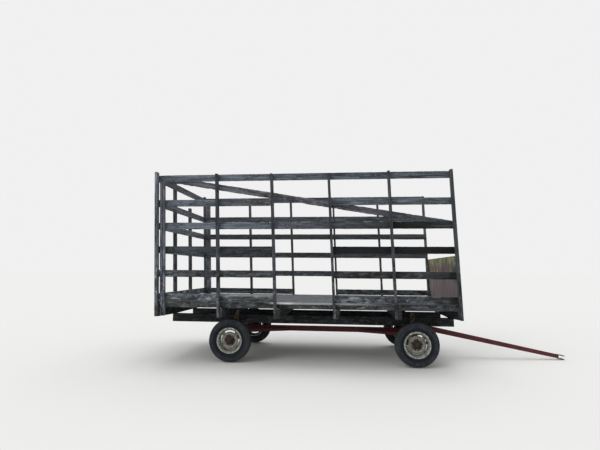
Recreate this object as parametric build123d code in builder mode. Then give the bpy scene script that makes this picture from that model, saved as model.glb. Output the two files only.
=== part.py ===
from build123d import *
from math import asin, atan, cos, degrees, radians, sin, sqrt, tan
import os

# Slatted hay rack on a four-wheel running gear, in millimetres
# +X points to the tongue, +Y to the wagon's left, +Z up, and the ground is z = 0

os.makedirs("parts", exist_ok=True)

# Stack of heights from the ground up
wheel_radius = 350
axle_depth = 90
reach_depth = 90
bolster_depth = 100
long_sill_depth = 140
cross_sill_depth = 237
plank_thickness = 28

axle_bottom = wheel_radius - axle_depth / 2
axle_top = axle_bottom + axle_depth
reach_top = axle_top + reach_depth
bolster_top = reach_top + bolster_depth
long_sill_top = bolster_top + long_sill_depth
cross_sill_top = long_sill_top + cross_sill_depth
deck_top = cross_sill_top + plank_thickness

# The origin lies midway between the rearmost post's top and the clevis's tip
rack_middle = -950

# Rack plan sizes
deck_length = 4835
deck_ahead = 22.5         # deck's middle ahead of the rack's middle
rail_face = 1195          # half width over the outer faces of the side rails
rim_thickness = 38
rim_depth = 100
plank_count = 16
plank_gap = 5
cross_sill_width = 50
long_sill_width = 90
long_sill_front_overhang = 30
nail_gap = 0.3            # hair line between boards that are nailed together
stand_gap = 0.5           # hair line under boards that stand on the deck
deck_middle = rack_middle + deck_ahead
deck_rear = deck_middle - deck_length / 2
deck_front = deck_middle + deck_length / 2

# Posts and rails, the posts numbered from 0 at the rear
post_face = 42
post_depth = 95
post_top = 3130
post_short = (0, 47, 58, 72, 44, 35)      # how far each side post ends below the post top
foot_rise = (22, 22, 22, 27, 43, 40)      # each side post's foot above the long sills
rear_post_let_in = 28     # depth of the rear side posts' notch in the rear sill
front_post_inset = 2      # front face of the front side posts inside the deck's front end
left_rear_post_short = 380
board_thickness = 22
board_height = 114
rail_first = 115          # top of the bottom rail above the deck
rail_pitch = 392
rail_above = (5, -3, -3, 1, -8, 22)
butt_gap = 3
rack_lean = 2.35          # degrees that the loosened rack leans back to the rear
lean_slope = tan(radians(rack_lean))

# Middle of each cross sill along the deck, rear to front: even spacing and how far each lies ahead of it
sill_inset = 25           # middle of an end sill inside the deck's end
sill_ahead = (0, 108, 71, 47, 40, 0)
sill_pitch = (deck_length - 2 * sill_inset) / (len(sill_ahead) - 1)
sill_x = [deck_rear + sill_inset + sill_pitch * i + ahead for i, ahead in enumerate(sill_ahead)]
sill_taper_y = 600        # where a cross sill's underside starts to rise to its end
raised_ends = (False, False, False, False, True, False)    # right ends that rise to the deck's height

# Front end
panel_thickness = 19
panel_height = 760
panel_half_width = 1220
upright_y = 420

# Rear end
rear_post_y = 390
rear_post_face = 45
stud_count = 2
stud_width = 40
stud_thickness = 42
stud_split = 6            # between the two boards of a corner stud
stud_foot_rise = 30       # above the long sills

# Diagonal brace on the right side: ends along X and heights of its middle line
brace_rear_inset = 31     # inside the deck's rear end
brace_rear_z = 3032
brace_front_inset = 105   # inside the deck's front end
brace_front_z = 2247
brace_height = 103

# Running gear plan sizes
front_axle_inset = 650    # front axle inside the deck's front end
rear_axle_ahead = 80      # rear axle ahead of the second cross sill
track_half = 965
kingpin_inset = 165       # kingpin inside the tyre's middle plane
yoke_length = 80          # kingpin outside the end of the front axle beam
axle_width = 90
reach_width = 76
reach_wall = 6
reach_tail = 140          # how far the reach runs on behind the rear axle
hound_width = 50
hound_depth = 50
hound_run = 820
hound_axle_y = 380
spacer_y = 500
spacer_width = 40
spacer_length = 70
stake_thickness = 45
stake_height = 230        # above the bolster's top
stake_drop = 85           # below the bolster's top
stake_taper = 12
sill_clearance = 2        # between a long sill and the stake outside it
stake_inner = 552         # half width between the stakes

front_axle_x = deck_front - front_axle_inset
rear_axle_x = sill_x[1] + rear_axle_ahead
kingpin_y = track_half - kingpin_inset
beam_half = kingpin_y - yoke_length

# Steering
pivot_ahead = 100         # tongue pivot ahead of the front axle
arm_length = 200          # knuckle arm and steering plate, pivot to tie rod pin
steer_plate_thickness = 16
steer_plate_rise = 14     # plate's underside above the wheels' centres
steer_plate_z = wheel_radius + steer_plate_rise
jaw_thickness = 12
turn_gap = 0.5            # between plates that turn on each other
pin_radius = 15
pin_clearance = 0.08
pin_head_radius = 23
pin_head_height = 8
yoke_radius = 45
yoke_thickness = 14
barrel_radius = 32
tie_pin_radius = 12.5
tie_eye_radius = 26
tie_eye_height = 26
tie_rod_radius = 11
arm_width = 44
tie_pin_cap = 5
tie_cap_radius = 21

# Tongue
hinge_ahead = 385         # tongue hinge ahead of the front axle
hinge_z = 480
ear_thickness = 12
ear_radius = 34
ear_base = 96
tongue_width = 60
tongue_side_gap = 1
tongue_rear_depth = 90
tongue_front_depth = 62
tongue_length = 2180      # hinge pin to the weld of the clevis
clevis_width = 70
clevis_plate = 12
clevis_gap = 45
clevis_back = 12
clevis_bore_reach = 85    # weld to the middle of the drawbar pin hole
drawbar_hole_radius = 13.5

# Wheels
spindle_radius = 18
spindle_end = 35          # spindle's end outside the tyre's middle plane
spindle_boss_radius = 26
hub_inner = -60
tyre_half_width = 95
tyre_shoulder_half = 82
tyre_shoulder_drop = 18   # shoulder's edge below the tread's crown
tyre_widest_drop = 78     # widest point below the tread's crown
bead_clearance = 0.5      # between the tyre's bead and the rim
rim_seat = 190.5
flange_height = 19.5
rim_well_depth = 20.5
rim_wall = 4
rim_half = 76
flange_lip = 6
ledge_half = 38           # where the rim starts to drop to its well
well_half = 26
disc_face = 20            # wheel disc's mounting face, outside the middle plane
disc_wall = 6
disc_flat_radius = 90
disc_crown_radius = 122
disc_crown = 16           # crown of the disc, outside its mounting face
crown_run = 28            # how far the crown runs on towards the rim
crown_fall = 4            # and how far it falls over that run
disc_edge_back = 2        # disc's edge, inside its mounting face
hub_radius = 45
hub_flange_radius = 80
hub_flange_thickness = 10
hub_nose = 36             # hub's front face, outside the disc's mounting face
hub_chamfer = 12
cap_radius = 32
cap_height = 28
slot_count = 4
slot_width = 21
slot_edge = 5             # metal between a slot and the disc's edge
slot_sweep = 58           # degrees


def lean_shift(height):
    """How far a point of the leaning rack has moved back at this height."""
    return -(height - deck_top) * lean_slope


def leaning_outline(x_rear, x_front, z_low, z_high):
    """Outline in the side view of an upright board or post that leans with the rack."""
    low = lean_shift(z_low)
    high = lean_shift(z_high)
    Polyline(
        (x_rear + low, z_low),
        (x_front + low, z_low),
        (x_front + high, z_high),
        (x_rear + high, z_high),
        close=True,
    )


def side_plane(y):
    """Side view plane at this Y: X to the right, Z up, solids grow to -Y."""
    return Plane(origin=(0, y, 0), x_dir=(1, 0, 0), z_dir=(0, -1, 0))


def finish(part, label):
    """Name a finished piece and write it."""
    part.label = label
    export_step(part, f"parts/{label}.step")


# Side posts stand behind their cross sill and touch it at the foot
# The rear ones are let into their sill's end, the front ones stand on the end of the front sill
last_post = len(sill_x) - 1
post_feet = [long_sill_top + rise for rise in foot_rise]
post_tops = [post_top - short for short in post_short]
post_to_sill = cross_sill_width / 2 + post_face / 2 + nail_gap
post_x = [x - post_to_sill - lean_shift(foot) for x, foot in zip(sill_x, post_feet)]
post_x[0] += rear_post_let_in
post_x[last_post] = deck_front - front_post_inset - post_face / 2 - lean_shift(post_feet[last_post])
rear_board_x = deck_rear - nail_gap - lean_shift(long_sill_top)
corner_x = rear_board_x + board_thickness
rail_inner = rail_face - board_thickness
post_outer = rail_face + post_depth

# Corner studs stand on the outside of the rails, in front of the rear sill's ends
ear_top = deck_top - rim_depth
stud_rear_x = sill_x[0] + cross_sill_width / 2 + nail_gap - lean_shift(ear_top)

# Tops of the side rails above the deck, bottom board first
rail_tops = [deck_top + rail_first + rail_pitch * i + above for i, above in enumerate(rail_above)]

# Runs of each side rail, bottom rail first: every run names its first and last post, 0 at the rear
right_runs = (
    ("0-1", "1-2", "3-4", "4-5"),
    ("0-1", "1-2", "3-4", "4-5"),
    ("0-1", "1-2", "3-5"),
    ("0-1", "1-4", "4-5"),
    ("0-1", "1-2", "3-5"),
    ("0-1", "1-5"),
)
left_runs = (
    ("0-2", "3-5"),
    ("0-3", "3-5"),
    ("0-2", "2-5"),
    ("0-3", "3-5"),
    ("0-2", "2-5"),
    ("0-3", "3-5"),
)

# Deck planks, laid lengthwise between the rim boards
plank_bay = 2 * (rail_face - rim_thickness)
plank_pitch = plank_bay / plank_count
with BuildPart() as deck_planks:
    with BuildSketch(Plane.XY.offset(cross_sill_top)):
        with Locations((deck_middle, 0)):
            with GridLocations(0, plank_pitch, 1, plank_count):
                Rectangle(deck_length, plank_pitch - plank_gap)
    extrude(amount=plank_thickness)
finish(deck_planks.part, "deck_planks")

# Rim boards along both edges of the deck
with BuildPart() as rim_boards:
    with BuildSketch(Plane.XY.offset(deck_top - rim_depth)):
        with Locations((deck_middle, 0)):
            with GridLocations(0, 2 * rail_face - rim_thickness, 1, 2):
                Rectangle(deck_length, rim_thickness)
    extrude(amount=rim_depth)
finish(rim_boards.part, "rim_boards")

# Cross sills: on edge over the long sills, their ends notched under the rim boards
rim_inner = rail_face - rim_thickness
rim_clear = rail_face + nail_gap
let_in_x = sill_x[0] - cross_sill_width / 2 + rear_post_let_in
with BuildPart() as cross_sills:
    for i, x in enumerate(sill_x):
        sill_end = rail_face if i == last_post else post_outer
        with BuildSketch(Plane.YZ.offset(x - cross_sill_width / 2)):
            with BuildLine():
                Polyline(
                    (-sill_end, post_feet[i]),
                    (-sill_taper_y, long_sill_top),
                    (sill_taper_y, long_sill_top),
                    (sill_end, post_feet[i]),
                    (sill_end, ear_top),
                    (rim_inner, ear_top),
                    (rim_inner, cross_sill_top),
                    (-rim_inner, cross_sill_top),
                    (-rim_inner, ear_top),
                    (-sill_end, ear_top),
                    close=True,
                )
            make_face()
        extrude(amount=cross_sill_width)
    for x, raised in zip(sill_x, raised_ends):
        if raised:
            with BuildSketch(Plane.XY.offset(ear_top)):
                with Locations((x, -(rim_clear + post_outer) / 2)):
                    Rectangle(cross_sill_width, post_outer - rim_clear)
            extrude(amount=rim_depth)
    with BuildSketch(Plane.XY.offset(long_sill_top)):
        with Locations((let_in_x - rear_post_let_in / 2, 0)):
            with GridLocations(0, rail_face + post_outer, 1, 2):
                Rectangle(rear_post_let_in, post_depth)
    extrude(amount=cross_sill_depth, mode=Mode.SUBTRACT)
finish(cross_sills.part, "cross_sills")

# Long sills: the two main timbers that lie on the bolsters, inside the stakes
long_sill_y = stake_inner - sill_clearance - long_sill_width / 2
with BuildPart() as long_sills:
    with BuildSketch(Plane.XY.offset(bolster_top)):
        with Locations((deck_middle + long_sill_front_overhang / 2, 0)):
            with GridLocations(0, 2 * long_sill_y, 1, 2):
                Rectangle(deck_length + long_sill_front_overhang, long_sill_width)
    extrude(amount=long_sill_depth)
finish(long_sills.part, "long_sills")

# Side posts: outside the rails, bolted to each cross sill's end
for side, outer_y in (("right", -rail_face), ("left", post_outer)):
    with BuildPart() as side_posts:
        for x, foot, top in zip(post_x, post_feet, post_tops):
            with BuildSketch(side_plane(outer_y)):
                with BuildLine():
                    leaning_outline(x - post_face / 2, x + post_face / 2, foot, top)
                make_face()
            extrude(amount=post_depth)
    finish(side_posts.part, f"side_posts_{side}")


def rail_span(run, top_rail):
    """Ends along X of one run of a side rail, at deck level."""
    first, last = [int(post) for post in run.split("-")]
    rear_end = post_x[0] - post_face / 2 if top_rail else corner_x + butt_gap
    start = rear_end if first == 0 else post_x[first] + butt_gap / 2
    end = post_x[last] - butt_gap / 2
    if last == last_post:
        end = post_x[last] + post_face / 2 - butt_gap
    return start, end


# Side rails: boards on the inside of the posts, butted at a post
for side, outer_y, side_runs in (("right", -rail_inner, right_runs), ("left", rail_face, left_runs)):
    with BuildPart() as side_rails:
        for rail_top, runs in zip(rail_tops, side_runs):
            z_middle = rail_top - board_height / 2
            shift = lean_shift(z_middle)
            for run in runs:
                x_start, x_end = rail_span(run, rail_top == rail_tops[-1])
                with BuildSketch(side_plane(outer_y)):
                    with Locations(((x_start + x_end) / 2 + shift, z_middle)):
                        Rectangle(x_end - x_start, board_height)
                extrude(amount=board_thickness)
    finish(side_rails.part, f"side_rails_{side}")

# Long diagonal brace, nailed to the inner faces of the right side's rails
brace_rear_x = deck_rear + brace_rear_inset
brace_front_x = deck_front - brace_front_inset
brace_slope = (brace_front_z - brace_rear_z) / (brace_front_x - brace_rear_x)
brace_half = brace_height / 2 * sqrt(1 + brace_slope ** 2)
with BuildPart() as side_brace:
    with BuildSketch(side_plane(-rail_inner + board_thickness + nail_gap)):
        with BuildLine():
            Polyline(
                (brace_rear_x, brace_rear_z - brace_half),
                (brace_front_x, brace_front_z - brace_half),
                (brace_front_x, brace_front_z + brace_half),
                (brace_rear_x, brace_rear_z + brace_half),
                close=True,
            )
        make_face()
    extrude(amount=board_thickness)
finish(side_brace.part, "side_brace")

# Rear corner studs: pairs of boards nailed to the outside of the rails and the rim, up to the top rail
stud_foot = long_sill_top + stud_foot_rise
stud_top = rail_tops[-1] - board_height - stand_gap
with BuildPart() as corner_studs:
    for outer_y in (-rim_clear, rim_clear + stud_thickness):
        for i in range(stud_count):
            rear_x = stud_rear_x + i * (stud_width + stud_split)
            with BuildSketch(side_plane(outer_y)):
                with BuildLine():
                    leaning_outline(rear_x, rear_x + stud_width, stud_foot, stud_top)
                make_face()
            extrude(amount=stud_thickness)
finish(corner_studs.part, "corner_studs")

# Rear posts, bolted to the rear face of the rear cross sill
with BuildPart() as rear_posts:
    for y, top in ((-rear_post_y, post_top), (rear_post_y, post_top - left_rear_post_short)):
        with BuildSketch(side_plane(y + post_depth / 2)):
            with BuildLine():
                rear_post_x = rear_board_x - nail_gap
                leaning_outline(rear_post_x - rear_post_face, rear_post_x, long_sill_top, top)
            make_face()
        extrude(amount=post_depth)
finish(rear_posts.part, "rear_posts")

# Rear rails, on the inside of the rear posts, at the side rails' heights
with BuildPart() as rear_rails:
    for top in rail_tops:
        half_length = rail_inner - stand_gap if top == rail_tops[-1] else rail_face - stand_gap
        with BuildSketch(side_plane(half_length)):
            with BuildLine():
                leaning_outline(rear_board_x, corner_x, top - board_height, top)
            make_face()
        extrude(amount=2 * half_length)
finish(rear_rails.part, "rear_rails")

# Front panel: one sheet across the front faces of the front posts
panel_x = post_x[-1] + post_face / 2 + nail_gap
with BuildPart() as front_panel:
    with BuildSketch(side_plane(panel_half_width)):
        with BuildLine():
            leaning_outline(
                panel_x, panel_x + panel_thickness, deck_top + stand_gap, deck_top + panel_height
            )
        make_face()
    extrude(amount=2 * panel_half_width)
finish(front_panel.part, "front_panel")

# Short uprights on the front face of the panel
upright_rear_x = panel_x + panel_thickness + nail_gap
with BuildPart() as front_uprights:
    for y in (-upright_y, upright_y):
        with BuildSketch(side_plane(y + post_depth / 2)):
            with BuildLine():
                leaning_outline(
                    upright_rear_x, upright_rear_x + post_face, deck_top + stand_gap, deck_top + panel_height
                )
            make_face()
        extrude(amount=post_depth)
finish(front_uprights.part, "front_uprights")

# Front axle: square beam, a two-jaw yoke at each end and a two-jaw tongue bracket in front
pivot_x = front_axle_x + pivot_ahead
steer_plate_top = steer_plate_z + steer_plate_thickness
bracket_jaws = (steer_plate_z - turn_gap - jaw_thickness, steer_plate_top + turn_gap)
with BuildPart() as front_axle:
    with BuildSketch(Plane.XY.offset(axle_bottom)):
        with Locations((front_axle_x, 0)):
            Rectangle(axle_width, 2 * beam_half)
    extrude(amount=axle_depth)
    for jaw_z in (axle_bottom, axle_top - yoke_thickness):
        for side in (-1, 1):
            with BuildSketch(Plane.XY.offset(jaw_z)):
                with Locations((front_axle_x, side * (beam_half + kingpin_y) / 2)):
                    Rectangle(2 * yoke_radius, kingpin_y - beam_half)
                with Locations((front_axle_x, side * kingpin_y)):
                    Circle(yoke_radius)
                    Circle(pin_radius + pin_clearance, mode=Mode.SUBTRACT)
            extrude(amount=yoke_thickness)
    for jaw_z in bracket_jaws:
        bracket_rear = front_axle_x + axle_width / 2
        with BuildSketch(Plane.XY.offset(jaw_z)):
            with Locations(((bracket_rear + pivot_x) / 2, 0)):
                Rectangle(pivot_x - bracket_rear, 2 * yoke_radius)
            with Locations((pivot_x, 0)):
                Circle(yoke_radius)
                Circle(pin_radius + pin_clearance, mode=Mode.SUBTRACT)
        extrude(amount=jaw_thickness)
finish(front_axle.part, "front_axle")

# Pins that stay with the front axle: (x, y, bottom of the lower jaw, top of the upper jaw)
axle_pin_table = (
    (front_axle_x, -kingpin_y, axle_bottom, axle_top),
    (front_axle_x, kingpin_y, axle_bottom, axle_top),
    (pivot_x, 0, bracket_jaws[0], bracket_jaws[1] + jaw_thickness),
)
with BuildPart() as axle_pins:
    for x, y, low, high in axle_pin_table:
        with BuildSketch(Plane.XY.offset(low - pin_head_height)):
            with Locations((x, y)):
                Circle(pin_head_radius)
        extrude(amount=pin_head_height)
        with BuildSketch(Plane.XY.offset(low)):
            with Locations((x, y)):
                Circle(pin_radius)
        extrude(amount=high - low)
        with BuildSketch(Plane.XY.offset(high)):
            with Locations((x, y)):
                Circle(pin_head_radius)
        extrude(amount=pin_head_height)
finish(axle_pins.part, "axle_pins")

# Rear axle: square beam with a stepped spindle at each end
boss_end = track_half + hub_inner - turn_gap
spindle_tip = track_half + spindle_end
with BuildPart() as rear_axle:
    with BuildSketch(Plane.XY.offset(axle_bottom)):
        with Locations((rear_axle_x, 0)):
            Rectangle(axle_width, 2 * kingpin_y)
    extrude(amount=axle_depth)
    with BuildSketch(Plane.XZ):
        with Locations((rear_axle_x, wheel_radius)):
            Circle(spindle_boss_radius)
    extrude(amount=boss_end, both=True)
    with BuildSketch(Plane.XZ):
        with Locations((rear_axle_x, wheel_radius)):
            Circle(spindle_radius)
    extrude(amount=spindle_tip, both=True)
finish(rear_axle.part, "rear_axle")

# Bolsters: the cross beams over the axles that carry the long sills
for name, x in (("front_bolster", front_axle_x), ("rear_bolster", rear_axle_x)):
    with BuildPart() as bolster:
        with BuildSketch(Plane.XY.offset(reach_top)):
            with Locations((x, 0)):
                Rectangle(axle_width, 2 * stake_inner)
        extrude(amount=bolster_depth)
    finish(bolster.part, name)

# Stakes at the bolsters' ends, tapered at the top, that keep the rack on the gear
stake_low = bolster_top - stake_drop
stake_high = bolster_top + stake_height
with BuildPart() as bolster_stakes:
    for x in (front_axle_x, rear_axle_x):
        for outer_y in (-stake_inner - nail_gap, stake_inner + nail_gap + stake_thickness):
            with BuildSketch(side_plane(outer_y)):
                with BuildLine():
                    half = axle_width / 2
                    Polyline(
                        (x - half, stake_low),
                        (x + half, stake_low),
                        (x + half - stake_taper, stake_high),
                        (x - half + stake_taper, stake_high),
                        close=True,
                    )
                make_face()
            extrude(amount=stake_thickness)
finish(bolster_stakes.part, "bolster_stakes")

# Spacers that carry the bolsters' outer parts on the axles
with BuildPart() as bolster_spacers:
    with BuildSketch(Plane.XY.offset(axle_top)):
        for x in (front_axle_x, rear_axle_x):
            with Locations((x, 0)):
                with GridLocations(0, 2 * spacer_y, 1, 2):
                    Rectangle(spacer_length, spacer_width)
    extrude(amount=reach_depth)
finish(bolster_spacers.part, "bolster_spacers")

# Reach: square tube from the front axle to behind the rear axle
reach_front = front_axle_x + axle_width / 2
reach_rear = rear_axle_x - axle_width / 2 - reach_tail
with BuildPart() as reach:
    with BuildSketch(Plane.YZ.offset(reach_rear)):
        with Locations((0, axle_top + reach_depth / 2)):
            Rectangle(reach_width, reach_depth)
            Rectangle(reach_width - 2 * reach_wall, reach_depth - 2 * reach_wall, mode=Mode.SUBTRACT)
    extrude(amount=reach_front - reach_rear)
finish(reach.part, "reach")

# Hounds: braces from the top of each axle to the sides of the reach
for name, axle_x, direction in (
    ("front_hounds", front_axle_x, -1),
    ("rear_hounds", rear_axle_x, 1),
):
    with BuildPart() as hounds:
        reach_side = reach_width / 2 + nail_gap
        hound_slope = (hound_axle_y - reach_side) / hound_run
        hound_half = hound_width / 2 * sqrt(1 + hound_slope ** 2)
        axle_edge = axle_x - direction * axle_width / 2
        axle_edge_y = hound_axle_y + hound_slope * axle_width / 2
        with BuildSketch(Plane.XY.offset(axle_top)):
            for side in (-1, 1):
                with BuildLine():
                    Polyline(
                        (axle_edge, side * (axle_edge_y - hound_half)),
                        (axle_x + direction * (hound_run - hound_half / hound_slope), side * reach_side),
                        (axle_x + direction * (hound_run + hound_half / hound_slope), side * reach_side),
                        (axle_edge, side * (axle_edge_y + hound_half)),
                        close=True,
                    )
                make_face()
        extrude(amount=hound_depth)
    finish(hounds.part, name)

# Knuckles: barrel on the kingpin, arm to the tie rod, boss and spindle for the wheel
barrel_low = axle_bottom + yoke_thickness + turn_gap
barrel_high = axle_top - yoke_thickness - turn_gap
arm_pin_x = front_axle_x + arm_length
tie_eye_up = steer_plate_top + turn_gap
tie_eye_down = steer_plate_z - turn_gap - tie_eye_height
tie_pin_reach = turn_gap + tie_eye_height + turn_gap + tie_pin_cap


def tie_pin(x, y, direction):
    """Stud for a tie rod's eye, up or down from a plate at the steering level, with its cap."""
    face_z = steer_plate_top if direction > 0 else steer_plate_z
    cap_z = face_z + direction * (tie_pin_reach - tie_pin_cap)
    with BuildPart() as stud:
        with BuildSketch(Plane.XY.offset(face_z)):
            with Locations((x, y)):
                Circle(tie_pin_radius)
        extrude(amount=direction * tie_pin_reach)
        with BuildSketch(Plane.XY.offset(cap_z)):
            with Locations((x, y)):
                Circle(tie_cap_radius)
        extrude(amount=direction * tie_pin_cap)
    return stud.part


for name, side in (("knuckle_right", -1), ("knuckle_left", 1)):
    arm_stud = tie_pin(arm_pin_x, side * kingpin_y, side)
    with BuildPart() as knuckle:
        with BuildSketch(Plane.XY.offset(barrel_low)):
            with Locations((front_axle_x, side * kingpin_y)):
                Circle(barrel_radius)
        extrude(amount=barrel_high - barrel_low)
        with BuildSketch(Plane.XZ.offset(-side * kingpin_y)):
            with Locations((front_axle_x, wheel_radius)):
                Circle(spindle_boss_radius)
        extrude(amount=-side * (boss_end - kingpin_y))
        with BuildSketch(Plane.XZ.offset(-side * kingpin_y)):
            with Locations((front_axle_x, wheel_radius)):
                Circle(spindle_radius)
        extrude(amount=-side * (spindle_tip - kingpin_y))
        with BuildSketch(Plane.XY.offset(steer_plate_z)):
            with Locations(((front_axle_x + arm_pin_x) / 2, side * kingpin_y)):
                Rectangle(arm_length, arm_width)
            with Locations((arm_pin_x, side * kingpin_y)):
                Circle(arm_width / 2)
        extrude(amount=steer_plate_thickness)
        add(arm_stud)
        with BuildSketch(Plane.XY.offset(barrel_low)):
            with Locations((front_axle_x, side * kingpin_y)):
                Circle(pin_radius + pin_clearance)
        extrude(amount=barrel_high - barrel_low, mode=Mode.SUBTRACT)
    finish(knuckle.part, name)

# Steering plate: turns in the axle's bracket, pulls both tie rods, carries the tongue's ears
plate_pin_x = pivot_x + arm_length
hinge_x = front_axle_x + hinge_ahead
ear_inner = tongue_width / 2 + tongue_side_gap
plate_front = hinge_x + ear_base / 2
plate_half_front = ear_inner + ear_thickness + 8
plate_studs = [tie_pin(plate_pin_x, 0, 1), tie_pin(plate_pin_x, 0, -1)]
with BuildPart() as steering_plate:
    with BuildSketch(Plane.XY.offset(steer_plate_z)):
        with BuildLine():
            Polyline(
                (pivot_x, -yoke_radius),
                (plate_front, -plate_half_front),
                (plate_front, plate_half_front),
                (pivot_x, yoke_radius),
                close=True,
            )
        make_face()
        with Locations((pivot_x, 0)):
            Circle(yoke_radius)
            Circle(pin_radius + pin_clearance, mode=Mode.SUBTRACT)
    extrude(amount=steer_plate_thickness)
    for ear_y in (-ear_inner, ear_inner + ear_thickness):
        with BuildSketch(side_plane(ear_y)):
            with BuildLine():
                Polyline(
                    (hinge_x - ear_base / 2, steer_plate_top),
                    (hinge_x + ear_base / 2, steer_plate_top),
                    (hinge_x + ear_radius, hinge_z),
                    (hinge_x - ear_radius, hinge_z),
                    close=True,
                )
            make_face()
            with Locations((hinge_x, hinge_z)):
                Circle(ear_radius)
                Circle(pin_radius + pin_clearance, mode=Mode.SUBTRACT)
        extrude(amount=ear_thickness)
    add(plate_studs)
finish(steering_plate.part, "steering_plate")

# Tongue hinge pin, headed outside both ears
ear_outer = ear_inner + ear_thickness
with BuildPart() as tongue_pin:
    with BuildSketch(Plane.XZ):
        with Locations((hinge_x, hinge_z)):
            Circle(pin_radius)
    extrude(amount=ear_outer, both=True)
    for head_y in (-ear_outer, ear_outer + pin_head_height):
        with BuildSketch(side_plane(head_y)):
            with Locations((hinge_x, hinge_z)):
                Circle(pin_head_radius)
        extrude(amount=pin_head_height)
finish(tongue_pin.part, "tongue_pin")

# Tie rods: straight rods with an eye at each end, from the plate's pin to the knuckle's
for name, side, eye_z in (
    ("tie_rod_right", -1, tie_eye_down),
    ("tie_rod_left", 1, tie_eye_up),
):
    inner_end = Vector(plate_pin_x, 0, eye_z + tie_eye_height / 2)
    outer_end = Vector(arm_pin_x, side * kingpin_y, eye_z + tie_eye_height / 2)
    rod_plane = Plane(origin=inner_end, z_dir=outer_end - inner_end)
    with BuildPart() as tie_rod:
        with BuildSketch(rod_plane):
            Circle(tie_rod_radius)
        extrude(amount=(outer_end - inner_end).length)
        for end in (inner_end, outer_end):
            with BuildSketch(Plane.XY.offset(eye_z)):
                with Locations((end.X, end.Y)):
                    Circle(tie_eye_radius)
            extrude(amount=tie_eye_height)
        for end in (inner_end, outer_end):
            with BuildSketch(Plane.XY.offset(eye_z)):
                with Locations((end.X, end.Y)):
                    Circle(tie_pin_radius + pin_clearance)
            extrude(amount=tie_eye_height, mode=Mode.SUBTRACT)
    finish(tie_rod.part, name)

# Tongue slope: the clevis's lower front corner rests on the ground
clevis_tip = tongue_length + clevis_bore_reach + clevis_width / 2
clevis_half = clevis_gap / 2 + clevis_plate
tongue_slope = asin(hinge_z / sqrt(clevis_tip ** 2 + clevis_half ** 2)) - atan(clevis_half / clevis_tip)
tongue_dir = Vector(cos(tongue_slope), 0, -sin(tongue_slope))
tongue_up = Vector(sin(tongue_slope), 0, cos(tongue_slope))
tongue_side = Plane(origin=(hinge_x, 0, hinge_z), x_dir=tongue_dir, z_dir=(0, -1, 0))
tongue_flat = Plane(origin=(hinge_x, 0, hinge_z), x_dir=tongue_dir, z_dir=tongue_up)

# Tongue: tapered beam, rounded about its hinge pin
with BuildPart() as tongue:
    with BuildSketch(tongue_side.offset(-tongue_width / 2)):
        with BuildLine():
            Polyline(
                (0, -tongue_rear_depth / 2),
                (tongue_length, -tongue_front_depth / 2),
                (tongue_length, tongue_front_depth / 2),
                (0, tongue_rear_depth / 2),
                close=True,
            )
        make_face()
        Circle(tongue_rear_depth / 2)
        Circle(pin_radius + pin_clearance, mode=Mode.SUBTRACT)
    extrude(amount=tongue_width)
finish(tongue.part, "tongue")

# Hitch clevis: back plate welded to the tongue and two rounded ears with the drawbar pin hole
bore_reach = tongue_length + clevis_bore_reach
with BuildPart() as hitch_clevis:
    with BuildSketch(tongue_flat.offset(-clevis_half)):
        with Locations((tongue_length + clevis_back / 2, 0)):
            Rectangle(clevis_back, clevis_width)
    extrude(amount=2 * clevis_half)
    for ear_low in (-clevis_half, clevis_gap / 2):
        with BuildSketch(tongue_flat.offset(ear_low)):
            with Locations(((tongue_length + bore_reach) / 2, 0)):
                Rectangle(clevis_bore_reach, clevis_width)
            with Locations((bore_reach, 0)):
                Circle(clevis_width / 2)
                Circle(drawbar_hole_radius, mode=Mode.SUBTRACT)
        extrude(amount=clevis_plate)
finish(hitch_clevis.part, "hitch_clevis")

# Wheels, each turned about its axle: profiles are (offset from the middle plane, radius)
wheel_table = (
    ("front_right", front_axle_x, -1),
    ("front_left", front_axle_x, 1),
    ("rear_right", rear_axle_x, -1),
    ("rear_left", rear_axle_x, 1),
)
hub_bore_end = spindle_end + 5
flange_radius = rim_seat + flange_height
bead_radius = rim_seat + bead_clearance
bead_half = rim_half - flange_lip - bead_clearance - 3
well_radius = rim_seat - rim_well_depth
disc_edge = well_radius - rim_wall + 1
slot_radius = disc_edge - slot_edge - slot_width / 2
slot_starts = [slot * 360 / slot_count - slot_sweep / 2 for slot in range(slot_count)]
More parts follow.
